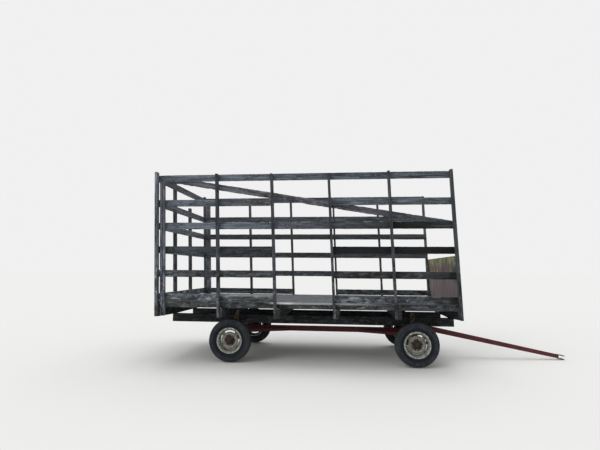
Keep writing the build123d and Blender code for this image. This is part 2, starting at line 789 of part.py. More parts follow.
# Middle lines of the slots, drawn outside any sketch so that the sketch alone sets their place
slot_lines = [CenterArc((0, 0), slot_radius, start, slot_sweep).edge() for start in slot_starts]
shoulder_radius = wheel_radius - tyre_shoulder_drop
widest_radius = wheel_radius - tyre_widest_drop
cap_end = disc_face + hub_nose + cap_height
rim_outline = (
    (rim_half, flange_radius),
    (rim_half - flange_lip, flange_radius - 2),
    (rim_half - flange_lip, rim_seat),
    (ledge_half, rim_seat - 1.5),
    (well_half, well_radius),
)
rim_inside = (
    (well_half + 2.5, well_radius - rim_wall),
    (ledge_half + 3, rim_seat - rim_wall - 1.5),
    (rim_half - flange_lip + rim_wall, rim_seat - rim_wall),
    (rim_half - flange_lip + rim_wall, flange_radius - rim_wall - 2),
    (rim_half + 1, flange_radius - rim_wall - 1),
)
rim_right_half = rim_outline[::-1]
for name, x, side in wheel_table:
    # Sketch plane with local x outwards along the axle and local y up
    wheel_plane = Plane(origin=(x, side * track_half, wheel_radius), x_dir=(0, side, 0), z_dir=(side, 0, 0))
    axle_line = Axis((x, side * track_half, wheel_radius), (0, 1, 0))
    with BuildPart() as tyre:
        with BuildSketch(wheel_plane):
            with BuildLine():
                bead_top = (bead_half + 2, flange_radius + 4)
                shoulder = (tyre_shoulder_half, shoulder_radius)
                Line((0, bead_radius), (bead_half, bead_radius))
                Line((bead_half, bead_radius), bead_top)
                ThreePointArc(bead_top, (tyre_half_width, widest_radius), shoulder)
                crown_middle = (tyre_shoulder_half / 2, wheel_radius - tyre_shoulder_drop / 4)
                ThreePointArc(shoulder, crown_middle, (0, wheel_radius))
                mirror(about=Plane.YZ)
            make_face()
        revolve(axis=axle_line)
    finish(tyre.part, f"tyre_{name}")

    with BuildPart() as rim:
        with BuildSketch(wheel_plane):
            with BuildLine():
                Polyline((0, well_radius), *rim_right_half, *rim_inside[::-1], (0, well_radius - rim_wall))
                mirror(about=Plane.YZ)
            make_face()
        revolve(axis=axle_line)
        with BuildSketch(wheel_plane):
            with BuildLine():
                disc_outer = disc_face + disc_wall
                Polyline(
                    (disc_face, hub_radius + 1),
                    (disc_face, disc_flat_radius + 2),
                    (disc_face + disc_crown, disc_crown_radius),
                    (disc_face + disc_crown - crown_fall, disc_crown_radius + crown_run),
                    (disc_face - disc_edge_back, disc_edge),
                    (disc_outer - disc_edge_back, disc_edge),
                    (disc_outer + disc_crown - crown_fall, disc_crown_radius + crown_run + disc_wall / 2),
                    (disc_outer + disc_crown, disc_crown_radius - disc_wall / 2),
                    (disc_outer, disc_flat_radius - 1),
                    (disc_outer, hub_radius + 1),
                    close=True,
                )
            make_face()
        revolve(axis=axle_line)
        face_plane = Plane(
            origin=(x, side * (track_half + disc_face - disc_wall), wheel_radius),
            x_dir=(1, 0, 0),
            z_dir=(0, side, 0),
        )
        with BuildSketch(face_plane):
            for line in slot_lines:
                SlotArc(line, slot_width)
        extrude(amount=disc_crown + 4 * disc_wall, mode=Mode.SUBTRACT)
    finish(rim.part, f"rim_{name}")

    with BuildPart() as hub:
        with BuildSketch(wheel_plane):
            with BuildLine():
                Polyline(
                    (hub_inner, spindle_radius + pin_clearance),
                    (hub_inner, hub_radius - hub_chamfer / 2),
                    (hub_inner + hub_chamfer, hub_radius),
                    (disc_face - hub_flange_thickness, hub_radius),
                    (disc_face - hub_flange_thickness, hub_flange_radius),
                    (disc_face, hub_flange_radius),
                    (disc_face, hub_radius),
                    (disc_face + hub_nose, hub_radius - 4),
                    (disc_face + hub_nose, cap_radius),
                    (cap_end - 8, cap_radius),
                    (cap_end, cap_radius - 12),
                    (cap_end, 0),
                    (hub_bore_end, 0),
                    (hub_bore_end, spindle_radius + pin_clearance),
                    close=True,
                )
            make_face()
        revolve(axis=axle_line)
    finish(hub.part, f"hub_{name}")

bore_centre = Vector(hinge_x, 0, hinge_z) + tongue_dir * bore_reach
print("deck top", deck_top, "tongue slope", round(degrees(tongue_slope), 3))
print("tongue pivot", (pivot_x, 0, steer_plate_z), "hinge", (hinge_x, 0, hinge_z))
print("drawbar hole", bore_centre, "axis", tongue_up)
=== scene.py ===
# %% [markdown]
# # A slatted hay wagon
# The wagon is a rack of grey boards on a red steel running gear: four wheels, a steering front axle and a
# tongue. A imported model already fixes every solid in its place. This notebook gives those solids their
# finish: worn boards with their own grain, nails and bolts, tyre lugs, rust and faded paint. The pieces could
# be drawn afresh, but then every size would be typed twice. So nothing is moved, and each new piece takes its
# place and its size from the fixed model. Units are metres, and +X runs to the tongue.

# %% Load the fixed model
import math
import random

import bmesh
import bpy
from mathutils import Matrix, Vector


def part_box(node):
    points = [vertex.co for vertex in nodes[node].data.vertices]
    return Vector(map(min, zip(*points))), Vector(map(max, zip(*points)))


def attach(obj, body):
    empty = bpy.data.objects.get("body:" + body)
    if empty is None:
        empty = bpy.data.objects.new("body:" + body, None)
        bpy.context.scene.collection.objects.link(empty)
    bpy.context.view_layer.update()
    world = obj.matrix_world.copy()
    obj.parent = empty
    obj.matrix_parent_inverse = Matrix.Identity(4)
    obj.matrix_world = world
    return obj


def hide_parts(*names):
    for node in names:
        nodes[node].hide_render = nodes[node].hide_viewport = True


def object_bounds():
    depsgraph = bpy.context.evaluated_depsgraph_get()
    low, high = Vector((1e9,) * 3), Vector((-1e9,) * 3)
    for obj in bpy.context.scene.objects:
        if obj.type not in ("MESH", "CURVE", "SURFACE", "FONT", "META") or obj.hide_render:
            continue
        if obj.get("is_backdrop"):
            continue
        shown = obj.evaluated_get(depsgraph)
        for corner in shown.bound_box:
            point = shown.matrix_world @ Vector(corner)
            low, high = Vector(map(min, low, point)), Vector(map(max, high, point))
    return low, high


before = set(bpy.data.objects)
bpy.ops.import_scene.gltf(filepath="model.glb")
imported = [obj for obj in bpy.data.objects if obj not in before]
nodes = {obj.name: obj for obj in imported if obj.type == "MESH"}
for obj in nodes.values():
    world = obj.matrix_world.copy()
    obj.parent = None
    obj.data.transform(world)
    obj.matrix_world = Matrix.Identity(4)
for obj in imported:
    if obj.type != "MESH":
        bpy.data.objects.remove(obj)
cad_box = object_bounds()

scene = bpy.context.scene
scene.view_settings.view_transform = "Standard"

# %% [markdown]
# ## The camera
# The picture is taken from about eye height, eight metres off the wagon's right side, with a wide lens that
# looks slightly up. A camera's matrix has its right, up and backward directions as columns. Building these
# three from yaw, pitch and roll is surer than turning a camera by hand, because each angle can be measured.

# %% Set up the camera
image_width = 600
focal_pixels = 427.7
camera_spot = Vector((-0.282, -8.039, 1.503))
yaw, pitch, roll = (math.radians(angle) for angle in (6.036, 6.053, 0.428))

ahead = Vector((-math.sin(yaw) * math.cos(pitch), math.cos(yaw) * math.cos(pitch), math.sin(pitch)))
level_right = Vector((math.cos(yaw), math.sin(yaw), 0))
level_up = level_right.cross(ahead)
right = level_right * math.cos(roll) + level_up * math.sin(roll)
up = level_up * math.cos(roll) - level_right * math.sin(roll)

camera_data = bpy.data.cameras.new("camera")
camera_data.sensor_fit = "HORIZONTAL"
camera_data.sensor_width = 36
camera_data.lens = focal_pixels * camera_data.sensor_width / image_width
camera_data.clip_end = 500
camera = bpy.data.objects.new("camera", camera_data)
scene.collection.objects.link(camera)
for column, direction in enumerate((right, up, -ahead, camera_spot)):
    for row in range(3):
        camera.matrix_world[row][column] = direction[row]
scene.camera = camera
print("lens", round(camera_data.lens, 2), "mm")

# %% [markdown]
# ## Helpers for node trees
# Shader trees and geometry trees could be wired by hand in the node editor. In a script they are built the
# same way: add a node, set its options, then fill each socket with a value or with a link. A few short
# helpers keep the later cells readable. Colours are given as they look on screen, from 0 to 255, and are
# turned into the linear numbers that the shaders work with.


# %% Define the node helpers
def colour(red, green, blue):
    """A screen colour as the linear colour that shaders use."""
    shares = (channel / 255 for channel in (red, green, blue))
    linear = [s / 12.92 if s <= 0.04045 else ((s + 0.055) / 1.055) ** 2.4 for s in shares]
    return (*linear, 1.0)


def put(tree, kind, sockets=None, **options):
    """Add a node, set its options, and fill its sockets with values or links."""
    node = tree.nodes.new(kind)
    for option, value in options.items():
        setattr(node, option, value)
    for socket, value in (sockets or {}).items():
        if isinstance(value, bpy.types.NodeSocket):
            tree.links.new(value, node.inputs[socket])
        else:
            node.inputs[socket].default_value = value
    return node


def wire(tree, kind, sockets=None, **options):
    """Add a node in the same way, and return its first output."""
    return put(tree, kind, sockets, **options).outputs[0]


print("mid grey as a shader sees it:", round(colour(128, 128, 128)[0], 3))

# %% [markdown]
# ## Short names for common steps
# Most of a tree is arithmetic on numbers, vectors and colours. Each node could be written out in full where
# it is needed, but a formula then drowns in the names of sockets. With one short helper for each kind of
# step, a later line reads like the formula that it stands for.


# %% Define the steps that most trees use
def maths(tree, operation, *values):
    """One arithmetic step on numbers or sockets."""
    return wire(tree, "ShaderNodeMath", dict(enumerate(values)), operation=operation)


def stretch(tree, vector, factors):
    """A vector or a colour multiplied by three factors, or by a vector socket."""
    first = vector if isinstance(vector, bpy.types.NodeSocket) else tuple(vector)[:3]
    return wire(tree, "ShaderNodeVectorMath", {0: first, 1: factors}, operation="MULTIPLY")


def scaled(tree, vector, factor):
    """A vector times one number."""
    return wire(tree, "ShaderNodeVectorMath", {0: vector, "Scale": factor}, operation="SCALE")


def vector_of(tree, x, y, z):
    """Three numbers as one vector."""
    return wire(tree, "ShaderNodeCombineXYZ", {0: x, 1: y, 2: z})


def parts_of(tree, vector):
    """The three numbers of a vector."""
    return put(tree, "ShaderNodeSeparateXYZ", {0: vector}).outputs


def ramp(tree, value, low, high, start=0.0, end=1.0):
    """A smooth step from start to end while the value goes from low to high."""
    sockets = {"Value": value, "From Min": low, "From Max": high, "To Min": start, "To Max": end}
    return wire(tree, "ShaderNodeMapRange", sockets, interpolation_type="SMOOTHSTEP")


def noise(tree, vector, scale=1.0, detail=3.0, roughness=0.6):
    """Cloudy noise from 0 to 1."""
    sockets = {"Vector": vector, "Scale": scale, "Detail": detail, "Roughness": roughness}
    return wire(tree, "ShaderNodeTexNoise", sockets)


def mix(tree, amount, first, second, kind="MIX"):
    """Two colours mixed by an amount from 0 to 1."""
    node = put(tree, "ShaderNodeMix", {0: amount, 6: first, 7: second}, data_type="RGBA", blend_type=kind)
    return node.outputs[2]


def layer(tree, base, mask, strength, shade):
    """A shade laid over a colour where the mask is 1, at this strength."""
    return mix(tree, maths(tree, "MULTIPLY", mask, strength), base, shade)


short_steps = (maths, stretch, scaled, vector_of, parts_of, ramp, noise, mix, layer)
print("short steps:", [step.__name__ for step in short_steps])

# %% [markdown]
# ## Node groups
# An effect that many materials share could be copied into each of them. A node group is built once instead
# and placed wherever it is needed, with its sizes as named inputs, so one change reaches every piece.


# %% Define how a group is made
def new_group(name, kind, inputs, outputs):
    """A node group and its sockets: a label goes with the usual number, or else with a socket type."""
    tree = bpy.data.node_groups.new(name, kind)
    for way, sockets in (("INPUT", inputs), ("OUTPUT", outputs)):
        for label, value in sockets.items():
            is_type = isinstance(value, str)
            socket_type = "NodeSocket" + (value if is_type else type(value).__name__.title())
            socket = tree.interface.new_socket(label, in_out=way, socket_type=socket_type)
            if not is_type:
                socket.default_value = value
    return tree, put(tree, "NodeGroupInput").outputs, put(tree, "NodeGroupOutput").inputs


def end_group(tree, result, outputs):
    """Link each named value to its output, and return the finished tree."""
    for label, value in outputs.items():
        tree.links.new(value, result[label])
    return tree


print("groups so far:", len(bpy.data.node_groups))

# %% [markdown]
# ## The floor
# The wagon stands on a plain pale floor. A small floor would show its edge in the picture, so one square
# reaches far past the wagon on all sides. Its paint has no shine, because a glossy floor would mirror the
# wheels.

# %% Make the floor
floor_mesh = bpy.data.meshes.new("floor")
floor_half = 200.0
floor_corners = [(x * floor_half, y * floor_half, 0) for x, y in ((-1, -1), (1, -1), (1, 1), (-1, 1))]
floor_mesh.from_pydata(floor_corners, [], [(0, 1, 2, 3)])
floor = bpy.data.objects.new("floor", floor_mesh)
scene.collection.objects.link(floor)
floor_paint = bpy.data.materials.new("floor_paint")
floor_paint.use_nodes = True
floor_shader = floor_paint.node_tree.nodes["Principled BSDF"]
floor_shader.inputs["Base Color"].default_value = colour(224, 224, 222)
floor_shader.inputs["Roughness"].default_value = 1.0
floor_shader.inputs["Specular IOR Level"].default_value = 0.0
floor_mesh.materials.append(floor_paint)
floor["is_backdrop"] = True
print("floor:", 2 * floor_half, "metres wide")

# %% [markdown]
# ## Light
# Lamps with a size of their own would light a floor this wide unevenly, so both lamps are suns, whose light
# is the same everywhere, with a wide angle that keeps the shadows soft. The rest comes evenly from all round.
# A board's face then shows about the colour that was written for it, and its top edge is a little brighter,
# as on a bright day. Camera rays see a surround as pale as the lit floor, so no horizon shows.

# %% Make the surround and the lamps
world = bpy.data.worlds.new("surround")
scene.world = world
world.use_nodes = True
sky = world.node_tree
surround = sky.nodes["Background"]
surround.inputs["Color"].default_value = (1, 1, 1, 1)
rays = put(sky, "ShaderNodeLightPath").outputs
seen = maths(sky, "MAXIMUM", rays["Is Camera Ray"], rays["Is Glossy Ray"])
seen = maths(sky, "MAXIMUM", seen, rays["Is Transmission Ray"])
even_light, seen_light = 0.62, 0.875
sky.links.new(ramp(sky, seen, 0.0, 1.0, even_light, seen_light), surround.inputs["Strength"])

# Each lamp: name, the direction that its light comes from, watts per square metre, and how many degrees wide
lamp_table = (
    ("overhead", (0.10, 0.30, 1.0), 1.35, 60),
    ("front_fill", (-0.75, -0.72, 0.60), 0.88, 40),
)
for name, source, strength, degrees_wide in lamp_table:
    lamp_data = bpy.data.lights.new(name, "SUN")
    lamp_data.energy = strength
    lamp_data.angle = math.radians(degrees_wide)
    lamp = bpy.data.objects.new(name, lamp_data)
    lamp.rotation_euler = (-Vector(source)).to_track_quat("-Z", "Y").to_euler()
    scene.collection.objects.link(lamp)
print("lamps:", [row[0] for row in lamp_table])

# %% [markdown]
# ## Wood grain
# Old farm gear is aged by the same few things, and each of them becomes one node group that gives masks and
# colours. The first is grain: fibres and soft bands along the board, checks where the wood has opened, knots,
# rain stains, bleached streaks and specks of mildew. A picture of wood would repeat, so all of it is noise,
# stretched along the board's own length. The shaders stay outside the groups, in the materials.


# %% Build the wood grain
def make_wood_grain():
    """Grain in a board's own coordinates, whose first one runs along the board."""
    inputs = {"Grain Place": "Vector", "Fibres Per Metre": 60.0, "Knot Share": 0.3}
    names = ("Fibres", "Bands", "Figure", "Checks", "Knots", "Stains", "Bleach", "Mildew")
    tree, given, result = new_group("Wood grain", "ShaderNodeTree", inputs, dict.fromkeys(names, "Float"))
    place, across = given["Grain Place"], given["Fibres Per Metre"]
    fine = stretch(tree, place, vector_of(tree, 2.4, across, across))
    fibres = noise(tree, fine, detail=5.0, roughness=0.7)
    bands = noise(tree, stretch(tree, place, (0.8, 9.0, 9.0)), detail=3.0)
    splits = noise(tree, stretch(tree, place, (1.3, 36.0, 36.0)), detail=2.0)
    blotches = noise(tree, stretch(tree, place, (3.4, 13.0, 13.0)), detail=5.0, roughness=0.68)
    streaks = noise(tree, stretch(tree, place, (1.6, 24.0, 24.0)), detail=4.0, roughness=0.6)
    specks = noise(tree, stretch(tree, place, (40.0, 90.0, 90.0)), detail=3.0, roughness=0.7)
    cells = put(tree, "ShaderNodeTexVoronoi", {"Vector": place, "Scale": 7.0}).outputs
    chance = wire(tree, "ShaderNodeSeparateColor", {0: cells["Color"]})
    knotty = maths(tree, "LESS_THAN", chance, given["Knot Share"])
    masks = {
        "Fibres": fibres,
        "Bands": bands,
        "Figure": maths(tree, "MULTIPLY_ADD", fibres, 0.6, maths(tree, "MULTIPLY", bands, 0.4)),
        "Checks": ramp(tree, splits, 0.62, 0.70),
        "Knots": maths(tree, "MULTIPLY", knotty, ramp(tree, cells["Distance"], 0.22, 0.09)),
        "Stains": ramp(tree, blotches, 0.50, 0.64),
        "Bleach": ramp(tree, streaks, 0.54, 0.68),
        "Mildew": ramp(tree, specks, 0.56, 0.66),
    }
    return end_group(tree, result, masks)


wood_grain = make_wood_grain()
print("wood grain:", len(wood_grain.nodes), "nodes")

# %% [markdown]
# ## Edges and chips
# Paint and bleached skin break away along edges first, because that is where things rub. A mask painted by
# hand could show this on one piece. A mask made of noise, pulled towards the edges by a point's place in the
# cross-section, works at any size and on every piece at once.


# %% Build the edge and chip effects
def make_section_edge():
    """How near a point is to a long edge, from its place in the cross-section (-1 to 1 each way)."""
    inputs = {"Section": "Vector"}
    tree, given, result = new_group("Section edge", "ShaderNodeTree", inputs, {"Edge": "Float"})
    parts = parts_of(tree, given["Section"])
    sides = [maths(tree, "ABSOLUTE", parts[axis]) for axis in (0, 1)]
    return end_group(tree, result, {"Edge": ramp(tree, maths(tree, "MINIMUM", *sides), 0.86, 1.0)})


def make_chipped_edge():
    """Where paint or bleached skin has broken away: along edges first, then in spots."""
    inputs = {"Place": "Vector", "Edge": 0.0, "Chip Size": 0.02, "Amount": 0.5}
    tree, given, result = new_group("Chipped edge", "ShaderNodeTree", inputs, {"Bare": "Float"})
    spots = noise(tree, given["Place"], maths(tree, "DIVIDE", 1.0, given["Chip Size"]), 4.0, 0.65)
    pull = maths(tree, "MULTIPLY_ADD", given["Edge"], 0.30, spots)
    limit = maths(tree, "SUBTRACT", 0.92, maths(tree, "MULTIPLY", given["Amount"], 0.4))
    return end_group(tree, result, {"Bare": ramp(tree, maths(tree, "SUBTRACT", pull, limit), 0.0, 0.05)})


section_edge = make_section_edge()
chipped_edge = make_chipped_edge()
print("edge effects:", [group.name for group in (section_edge, chipped_edge)])

# %% [markdown]
# ## Rust and what settles on top
# Rust blooms in patches, from dark brown to orange, and dust stays only on what faces the sky. A picture of
# rust would show its repeats on long steel members, and noise has none. The direction that a surface faces
# tells where dust can lie.


# %% Build the rust and dust effects
def make_rust_bloom():
    """Patches of rust and their colour, from dark brown to orange."""
    inputs = {"Place": "Vector", "Patch Size": 0.08, "Amount": 0.5}
    outputs = {"Rust": "Float", "Rust Colour": "Color", "Pits": "Float"}
    tree, given, result = new_group("Rust bloom", "ShaderNodeTree", inputs, outputs)
    patches = noise(tree, given["Place"], maths(tree, "DIVIDE", 1.0, given["Patch Size"]), 5.0, 0.62)
    limit = maths(tree, "SUBTRACT", 0.78, maths(tree, "MULTIPLY", given["Amount"], 0.5))
    rust = ramp(tree, maths(tree, "SUBTRACT", patches, limit), 0.0, 0.12)
    speckle = ramp(tree, noise(tree, given["Place"], 55.0, 4.0, 0.7), 0.35, 0.65)
    rust_colour = mix(tree, speckle, colour(44, 37, 31), colour(84, 64, 50))
    pits = noise(tree, given["Place"], 240.0, 3.0, 0.7)
    return end_group(tree, result, {"Rust": rust, "Rust Colour": rust_colour, "Pits": pits})


def make_sky_cover():
    """What lies on surfaces that face the sky, broken up by noise."""
    inputs = {"Place": "Vector", "Patch Size": 0.1, "Amount": 0.5}
    tree, given, result = new_group("Sky cover", "ShaderNodeTree", inputs, {"Cover": "Float"})
    facing_up = parts_of(tree, put(tree, "ShaderNodeNewGeometry").outputs["Normal"])[2]
    patches = noise(tree, given["Place"], maths(tree, "DIVIDE", 1.0, given["Patch Size"]), 4.0, 0.65)
    cover = maths(tree, "MULTIPLY", ramp(tree, facing_up, 0.2, 0.9), ramp(tree, patches, 0.3, 0.62))
    return end_group(tree, result, {"Cover": maths(tree, "MULTIPLY", cover, given["Amount"])})


rust_bloom = make_rust_bloom()
sky_cover = make_sky_cover()
print("shared effects:", [group.name for group in bpy.data.node_groups])

# %% [markdown]
# ## How every material starts and ends
# Each finish reads the object's own coordinates, or what its mesh carries, so a pattern keeps its real size
# and stays put when the piece moves. Each one ends in a colour, a roughness and a fine bump. These helpers
# hold what all finishes share, and place the shared effects with a material's own amounts.


# %% Start and finish a material
def use(tree, group, sockets):
    """Place a shared effect in a material, with its own values."""
    return put(tree, "ShaderNodeGroup", sockets, node_tree=group).outputs


def read(tree, attribute, part="Vector"):
    """An attribute that a piece's mesh carries."""
    return put(tree, "ShaderNodeAttribute", attribute_name=attribute).outputs[part]


def edge_mask(tree):
    """How near a point is to a long edge of its piece."""
    return use(tree, section_edge, {"Section": read(tree, "section")})["Edge"]


def bare_mask(tree, place, chip_size, amount):
    """Where the skin of a piece has chipped away."""
    sockets = {"Place": place, "Edge": edge_mask(tree), "Chip Size": chip_size, "Amount": amount}
    return use(tree, chipped_edge, sockets)["Bare"]


def cover_mask(tree, spot, patch_size, amount):
    """Where something lies on a piece."""
    return use(tree, sky_cover, {"Place": spot, "Patch Size": patch_size, "Amount": amount})["Cover"]


def start_material(name):
    """A new material: its tree, its shader and the object's own coordinates."""
    material = bpy.data.materials.new(name)
    material.use_nodes = True
    tree = material.node_tree
    spot = put(tree, "ShaderNodeTexCoord").outputs["Object"]
    return material, tree, tree.nodes["Principled BSDF"], spot


def connect(tree, shader, base, roughness, height, depth):
    """Link colour, roughness and a bump of this depth in metres to the shader."""
    tree.links.new(base, shader.inputs["Base Color"])
    tree.links.new(roughness, shader.inputs["Roughness"])
    bump = put(tree, "ShaderNodeBump", {"Height": height, "Strength": 0.7, "Distance": depth})
    tree.links.new(bump.outputs[0], shader.inputs["Normal"])
    shader.inputs["Specular IOR Level"].default_value = 0.3


print("materials so far:", [material.name for material in bpy.data.materials])

# %% [markdown]
# ## Weathered wood
# Bare boards turn silver grey outdoors: rain washes the brown out of the surface, and sun and frost open fine
# checks along the grain. Boards differ, because some are newer or drier than others. A painted picture of
# wood could not follow nearly eighty boards, so the grain is computed from what each board carries: a grain
# place, a place in the section, a tint made of tone, warmth and moss, and how strong a painted highlight is
# along its upper edge, where sunlight fell on it.


# %% Make the wood materials
def make_wood(name, dark, light, warm, knots):
    """Weathered wood that reads grain, section, tint and a painted sunlit edge from the mesh."""
    material, tree, shader, spot = start_material(name)
    place = read(tree, "grain")
    grain = use(tree, wood_grain, {"Grain Place": place, "Fibres Per Metre": 60.0, "Knot Share": knots})
    tone, warmth, moss = parts_of(tree, read(tree, "tint"))

    base = mix(tree, ramp(tree, grain["Figure"], 0.38, 0.62), dark, light)
    base = layer(tree, base, grain["Bleach"], 0.60, stretch(tree, light, (1.66, 1.64, 1.62)))
    base = layer(tree, base, grain["Stains"], 0.7, stretch(tree, dark, (0.42, 0.42, 0.46)))
    warm_wood = mix(tree, grain["Fibres"], warm, base)
    warm_part = maths(tree, "MULTIPLY", warmth, ramp(tree, grain["Bands"], 0.3, 0.6, 0.5, 1.0))
    base = mix(tree, warm_part, base, warm_wood)
    base = layer(tree, base, grain["Mildew"], 0.35, colour(30, 31, 33))
    base = layer(tree, base, grain["Knots"], 0.75, colour(36, 31, 30))
    base = layer(tree, base, bare_mask(tree, place, 0.03, 0.55), 0.40, light)

    # Low boards stay damp and go mottled, and so do the warm, freshly broken ones
    damp = ramp(tree, parts_of(tree, spot)[2], 2.1, 1.3)
    mottled = maths(tree, "MAXIMUM", damp, warmth)
    pale_cloud = noise(tree, stretch(tree, place, (8.0, 21.0, 21.0)), detail=5.0, roughness=0.72)
    dark_cloud = noise(tree, stretch(tree, place, (6.0, 17.0, 17.0)), detail=5.0, roughness=0.72)
    base = layer(tree, base, mottled, ramp(tree, pale_cloud, 0.53, 0.60, 0.0, 0.72), colour(156, 160, 166))
    base = layer(tree, base, mottled, ramp(tree, dark_cloud, 0.51, 0.58, 0.0, 0.84), colour(26, 25, 28))
    lichen = ramp(tree, noise(tree, spot, 34.0, 4.0, 0.72), 0.58, 0.66)
    base = layer(tree, base, lichen, 0.45, colour(140, 148, 154))
    base = mix(tree, 1.0, base, maths(tree, "ADD", tone, 1.0), "MULTIPLY")
    base = layer(tree, base, cover_mask(tree, spot, 0.09, 0.55), 0.45, colour(126, 131, 132))

    # Painted highlight: where sunlight fell on a board's upper edge, its upper part is painted near white
    upper = ramp(tree, parts_of(tree, read(tree, "section"))[1], 0.35, 0.60)
    base = layer(tree, base, read(tree, "sun", "Fac"), upper, colour(226, 224, 222))
    tufts = ramp(tree, noise(tree, spot, 16.0, 5.0, 0.7), 0.42, 0.6)
    base = layer(tree, base, moss, tufts, colour(74, 82, 54))
    base = layer(tree, base, grain["Checks"], 0.8, colour(17, 16, 17))
    height = maths(tree, "SUBTRACT", maths(tree, "MULTIPLY", grain["Fibres"], 0.6), grain["Checks"])
    connect(tree, shader, base, ramp(tree, grain["Fibres"], 0.2, 0.8, 0.95, 0.78), height, 0.002)
    return material


board_wood = make_wood("board_wood", colour(57, 62, 69), colour(101, 109, 119), colour(96, 62, 52), 0.25)
ochre_wood = make_wood("ochre_wood", colour(54, 42, 24), colour(96, 76, 40), colour(70, 48, 28), 0.0)
print("wood:", board_wood.name, ochre_wood.name)

# %% [markdown]
# ## Stained plywood
# The front panel is one sheet of plywood. Rain runs down its pink-brown face and leaves upright stains, its
# foot is washed paler, and moss grows along the upper edge. The stains differ from one side of the sheet to
# the other, so a colour ramp across the sheet holds them in order. Noise bends the ramp and adds fine
# streaks, which a picture of stains would need at a far larger size.


# %% Make the plywood
def stain_ramp(tree, share):
    """The sheet's upright stains, from its right edge to its left edge, by the share of its width."""
    stains = (
        (0.0, (44, 42, 48)), (0.09, (52, 46, 54)), (0.14, (112, 110, 98)), (0.24, (120, 112, 100)),
        (0.30, (122, 100, 110)), (0.56, (132, 110, 118)), (0.61, (58, 46, 44)), (0.65, (188, 170, 148)),
        (0.70, (46, 36, 32)), (0.75, (172, 140, 100)), (0.80, (54, 40, 34)), (0.85, (176, 152, 122)),
        (0.90, (92, 68, 56)), (0.95, (104, 78, 70)), (1.0, (48, 42, 42)),
    )
    stripes = put(tree, "ShaderNodeValToRGB", {0: share})
    while len(stripes.color_ramp.elements) < len(stains):
        stripes.color_ramp.elements.new(0.5)
    for element, (place, shade) in zip(stripes.color_ramp.elements, stains):
        element.position = place
        element.color = colour(*shade)
    return stripes.outputs[0]


def make_plywood():
    """Rain-streaked plywood: upright stains of several colours, and moss along its top edge."""
    material, tree, shader, spot = start_material("panel_plywood")
    place = read(tree, "grain")
    grain = use(tree, wood_grain, {"Grain Place": place, "Fibres Per Metre": 26.0, "Knot Share": 0.0})
    figure = grain["Figure"]
    across, height = parts_of(tree, spot)[1:]
    wander = noise(tree, stretch(tree, place, (2.0, 9.0, 9.0)), detail=5.0, roughness=0.7)
    shift = maths(tree, "MULTIPLY_ADD", wander, 0.36, across)
    share = wire(tree, "ShaderNodeMapRange", {"Value": shift, "From Min": -1.04, "From Max": 1.40})

    streaks = noise(tree, stretch(tree, spot, (1.0, 34.0, 2.2)), detail=4.0, roughness=0.6)
    base = mix(tree, ramp(tree, streaks, 0.50, 0.42, 0.0, 0.7), stain_ramp(tree, share), colour(36, 30, 32))
    base = mix(tree, ramp(tree, streaks, 0.56, 0.66, 0.0, 0.5), base, colour(176, 162, 160))
    washed = maths(tree, "MULTIPLY_ADD", wander, -0.30, height)
    base = mix(tree, ramp(tree, washed, 1.28, 1.14, 0.0, 0.75), base, colour(134, 122, 126))
    base = mix(tree, ramp(tree, figure, 0.44, 0.62, 0.0, 0.35), base, colour(140, 128, 124))
    base = layer(tree, base, grain["Stains"], 0.5, colour(48, 40, 38))

    patches = noise(tree, stretch(tree, spot, (7.0, 7.0, 5.0)), detail=6.0, roughness=0.8)
    drip = maths(tree, "MULTIPLY_ADD", patches, 0.70, height)
    moss = mix(tree, ramp(tree, patches, 0.42, 0.60), colour(102, 104, 78), colour(174, 177, 130))
    base = mix(tree, ramp(tree, drip, 1.92, 2.08, 0.0, 0.9), base, moss)
    base = layer(tree, base, edge_mask(tree), 0.6, colour(150, 146, 116))
    connect(tree, shader, base, ramp(tree, figure, 0.2, 0.8, 0.9, 0.75), figure, 0.0015)
    return material


panel_plywood = make_plywood()
print("plywood:", len(panel_plywood.node_tree.nodes), "nodes")

# %% [markdown]
# ## Red paint and bare steel
# The running gear was red and has faded unevenly, with rust at every edge. Pins, knuckles and rods were never
# painted: they have a brown skin, and a duller grey where hands or pins rub. Both finishes could be one
# material with a switch, but two short ones are easier to read and to tune.


# %% Make the paint and the steel
def make_paint(name, fresh, faded, rust_amount, chip_amount, dust_and_painted_highlight):
    """Old paint on steel: faded, chipped at the edges, rusting in patches, pale on top from dust and painted
    light.
    """
    material, tree, shader, spot = start_material(name)
    bloom = use(tree, rust_bloom, {"Place": spot, "Patch Size": 0.11, "Amount": rust_amount})
    fading = ramp(tree, noise(tree, spot, 7.0, 5.0, 0.65), 0.3, 0.7)
    base = mix(tree, fading, fresh, faded)
    rusty = maths(tree, "MAXIMUM", bloom["Rust"], bare_mask(tree, spot, 0.018, chip_amount))
    base = mix(tree, rusty, base, bloom["Rust Colour"])
    # Faces that point up turn pale: partly dust, partly a painted highlight on the top faces
    base = mix(tree, cover_mask(tree, spot, 0.12, dust_and_painted_highlight), base, colour(112, 106, 102))
    rough = mix(tree, rusty, ramp(tree, fading, 0.0, 1.0, 0.55, 0.75), (0.92, 0.92, 0.92, 1.0))
    height = maths(tree, "MULTIPLY_ADD", bloom["Pits"], rusty, maths(tree, "MULTIPLY", rusty, -1.0))
    connect(tree, shader, base, rough, height, 0.0012)
    return material


